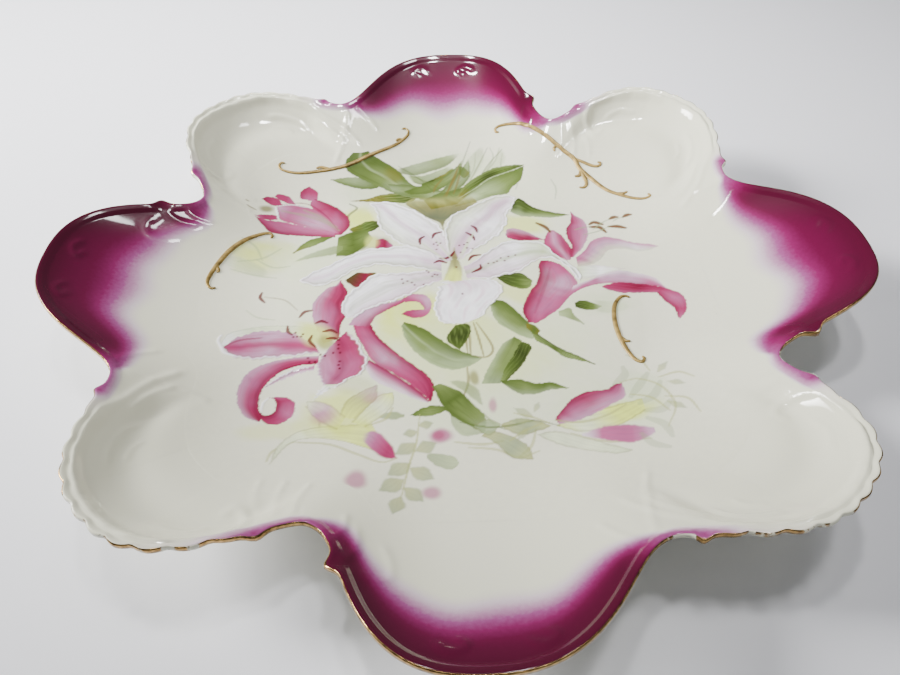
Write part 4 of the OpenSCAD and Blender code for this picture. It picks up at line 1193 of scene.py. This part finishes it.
petal("-6,9 -12,6 -18,1.5 -24,-1.5 -30,-4 -35,-8 -38,-9",
      "-6,14 -14,14 -22,13.2 -29,13 -33,9.5 -37,4.5 -40,-0.5 -40,-5 -38,-9",
      ["mauve", "blush", "white", "white", "white"],
      leftTone=("mauve", 0.3, 0.8), rib=("shade", 1.4, 0.6), seed=4.2, **whiteLook)
petal("2,16 8,21 14,27 20,30 28,29.8 33,27.5 36,21.5 41,16 43.3,11 42.5,7.5",
      "3,10 10,9.5 17,11.5 23,14 27,18 31,19.8 36,19 39.5,14 41.2,10.5 42.5,7.5",
      ["mauve", "blush", "white", "greenWhite", "white", "white"], rightTone=("mauve", 0.3, 0.6),
      rib=("paleLeaf", 1.2, 0.6), seed=5.2, **whiteLook)
petal("2,9 8,9.5 13.5,8 15,3 12.5,-1 9.5,-5 7,-9 3,-11.5 0,-12.3",
      "-1,8 -4,7.2 -8,8 -7.2,4 -8.5,-1 -8.8,-6 -7.5,-10 -5,-12.3 0,-12.3",
      ["mauve", "blush", "white", "white", "white"], leftTone=("white", 0.25, 0.8),
      rightTone=("white", 0.25, 0.8),
      seed=6.2, soft=0.3, enamel=(1, 1), streaks=("pink", 0.5))
petal("-5.5,9 -4,14 -2.5,20 -1,27", "1,8.5 1.5,14 0.5,20 -1,27",
      ["yellow", "paleOlive", "olive", "paleOlive"], soft=1.0,
      strength=0.9, rib=("olive", 0.7, 0.7))
wash(-1.5, 12, 2.2, 4, "yellow", 0.8, seed=1.5)
for path in ("-13.5,29 -13.5,32 -12,33.5", "-9,32.5 -8,35 -5.5,36", "3.8,35.5 6,33.5 6.8,31",
             "6,39.5 7.5,38 8,35.5",
             "-6.5,21 -4.5,20.7 -2.5,22 -1,24.5", "-8.5,18.5 -6.5,19.5 -4,18.3", "4,19.5 5.5,21.8 8.5,22.5",
             "5,13 8,15 8,17"):
    stroke(path, "brown", 0.6, 0.95, 0.08)
for path in ("-13,29.5 -8,24 -3,18", "-8,32 -5,26 -2,20", "5,33 3,27 0,20", "7,36 4,28 1,20"):
    stroke(path, "greenWhite", 0.35, 0.7, 0.05)
dots("-7.5,30 -6,29.5 -7,28.3 -8.5,29 -7.5,26 2.7,28.5 3.7,26.5 1.3,24 5.8,26 1,28 4,29.5 -.6,16 -10.5,13.5 "
     "-9.3,11.3 -8.5,12.3 -7.5,12 -11.2,14.2 -19.5,8 -18,9 -16.5,8.2 -15.5,7 -12.3,7 -20,10 11,17.7 "
     "14.2,18.8 15.7,20.6 18.5,21.3 21.2,22 13,18 17,19 1,2")
print("painting laid on", len(net), "points")


def netStrip(low, high, name):
    # one strip of the net: only where it lies on the floor or the lower wall, tucked under at its outer edge
    rows, cols = netX.shape
    faces = gridFaces(rows, cols)
    share = netShare.ravel()
    middle = net[faces].mean(axis=1)
    wanted = (share[faces].max(axis=1) < painting["reach"]) & (middle[:, 0] >= low) & (middle[:, 0] < high)
    faces = faces[wanted]
    used, faces = np.unique(faces, return_inverse=True)
    x, y = net[used].T
    tuck = smoothStep((painting["reach"] - 0.01 - share[used]) / 0.03)
    z = surfaceZ(x, y) + painting["lift"] * (3 * tuck - 2) + netRaise[used]
    return makeMesh(name, np.column_stack([x, y, z]), faces.reshape(-1, 4), netTone[used])


def lilyPaint(tree, place, cloudValue):
    # each point's own colour, broken a little by the grain of the enamel
    tone = addNode(tree, "Attribute", {"attribute_name": "paint"}).outputs["Color"]
    grain = noiseOf(tree, place, 500, 2)
    level = addNode(tree, "MapRange", {"To Min": 0.96, "To Max": 1.04}, {"Value": grain}).outputs[0]
    return addNode(tree, "VectorMath", {"operation": "SCALE"}, {0: tone, "Scale": level}).outputs[0]


stripEdges = np.linspace(*painting["across"], painting["strips"] + 1)
lilyStrips = [netStrip(stripEdges[i], stripEdges[i + 1], "lily_enamels_%d" % (i + 1))
              for i in range(painting["strips"])]
lilyGlaze = glazedPorcelain("lily_enamels_glazed", lilyPaint)
for strip in lilyStrips:
    strip.data.materials.append(lilyGlaze)
print("lily net made", [len(strip.data.polygons) for strip in lilyStrips])


# What stands for what
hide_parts("bowl_body")
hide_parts("foot_ring")
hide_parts("rim_gilding")
for sideName, piece in groundPieces.items():
    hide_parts("ground_" + sideName)
for scrollName, piece in scrollPieces.items():
    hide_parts("scroll_" + scrollName)
for piece in lilyStrips:
    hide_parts("lily_transfer")
for piece in [bowlShell, footRing, rimLine, *lilyStrips, *groundPieces.values(), *scrollPieces.values()]:
    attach(piece, "root")

# Table, lamps and camera
stage = {
    "table": "#fafaff", "tableRoughness": 0.22, "sky": "#e2e4ec", "skyPower": 0.2,
    "lamps": [  # place and the point it is aimed at in metres; width, depth, watts, how wide its beam opens
        ((-0.16, 0.24, 1.5), (0, 0.14, 0), 0.16, 0.1, 0.3, 34),
        ((0.2, 0.12, 1.5), (0, 0.14, 0), 0.2, 0.1, 0.3, 34),
        ((0.5, 0.3, 1.5), (0, 0.14, 0), 0.16, 0.16, 0.1, 34),
        ((-0.8, 0.22, 0.46), (-0.18, 0.2, 0), 0.4, 0.35, 4.0, 58)],
    "farWall": "#d9dbe0", "farPower": 0.7,
}


def makeTable():
    # a plain white laminate table, a little glossy, running far back
    mesh = bpy.data.meshes.new("table")
    mesh.from_pydata([(-3, -2, 0), (3, -2, 0), (3, 6, 0), (-3, 6, 0)], [], [(0, 1, 2, 3)])
    table = bpy.data.objects.new("table", mesh)
    bpy.context.scene.collection.objects.link(table)
    material, tree, out = newMaterial("laminate_white_satin")
    surface = addNode(tree, "BsdfPrincipled",
                      {"Base Color": rgba(stage["table"]), "Roughness": stage["tableRoughness"]})
    tree.links.new(surface.outputs[0], out.inputs["Surface"])
    mesh.materials.append(material)
    return table


def aimAt(item, target):
    # turns an object so that it looks along its own -Z at the target
    away = np.array(target) - np.array(item.location)
    flat = math.hypot(away[0], away[1])
    item.rotation_euler = (math.atan2(flat, -away[2]), 0, math.atan2(-away[0], away[1]))


def addLamp(place, target, width, depth, watts, opening, number):
    # an oblong lamp aimed at a target, its beam opening by so many degrees
    data = bpy.data.lights.new("lamp_%d" % number, "AREA")
    data.shape = "RECTANGLE"
    data.size, data.size_y, data.energy, data.spread = width, depth, watts, math.radians(opening)
    lamp = bpy.data.objects.new("lamp_%d" % number, data)
    bpy.context.scene.collection.objects.link(lamp)
    lamp.location = place
    aimAt(lamp, target)


tablePiece = makeTable()
for number, lampRow in enumerate(stage["lamps"]):
    addLamp(*lampRow, number)
world = bpy.data.worlds.new("soft_room")
bpy.context.scene.world = world
world.use_nodes = True
background = world.node_tree.nodes["Background"]
seen = addNode(world.node_tree, "LightPath").outputs["Is Camera Ray"]
wallTone = addNode(world.node_tree, "Mix", {"data_type": "RGBA", 6: rgba(stage["sky"]),
                                            7: rgba(stage["farWall"])},
                   {"Factor": seen})
wallPower = addNode(world.node_tree, "MapRange", {"To Min": stage["skyPower"], "To Max": stage["farPower"]},
                    {"Value": seen})
world.node_tree.links.new(wallTone.outputs[2], background.inputs["Color"])
world.node_tree.links.new(wallPower.outputs[0], background.inputs["Strength"])

# The camera looks down at about 47 degrees from close by, as a hand-held one would
camera = {"lens": 29.6, "azimuth": -2.14, "elevation": 46.68, "roll": -0.38,
          "target": (-4.7, -37.8, 28.5), "distance": 213.3}
cameraData = bpy.data.cameras.new("camera")
cameraData.lens = camera["lens"]
cameraData.sensor_width = 36.0
cameraData.clip_start = 0.01
cameraObject = bpy.data.objects.new("camera", cameraData)
bpy.context.scene.collection.objects.link(cameraObject)
azimuth, elevation = math.radians(camera["azimuth"]), math.radians(camera["elevation"])
back = np.array([math.sin(azimuth) * math.cos(elevation), -math.cos(azimuth) * math.cos(elevation),
                 math.sin(elevation)])
cameraObject.location = (np.array(camera["target"]) + back * camera["distance"]) * mm
aimAt(cameraObject, np.array(camera["target"]) * mm)
cameraObject.rotation_euler.rotate_axis("Z", math.radians(-camera["roll"]))
bpy.context.scene.camera = cameraObject
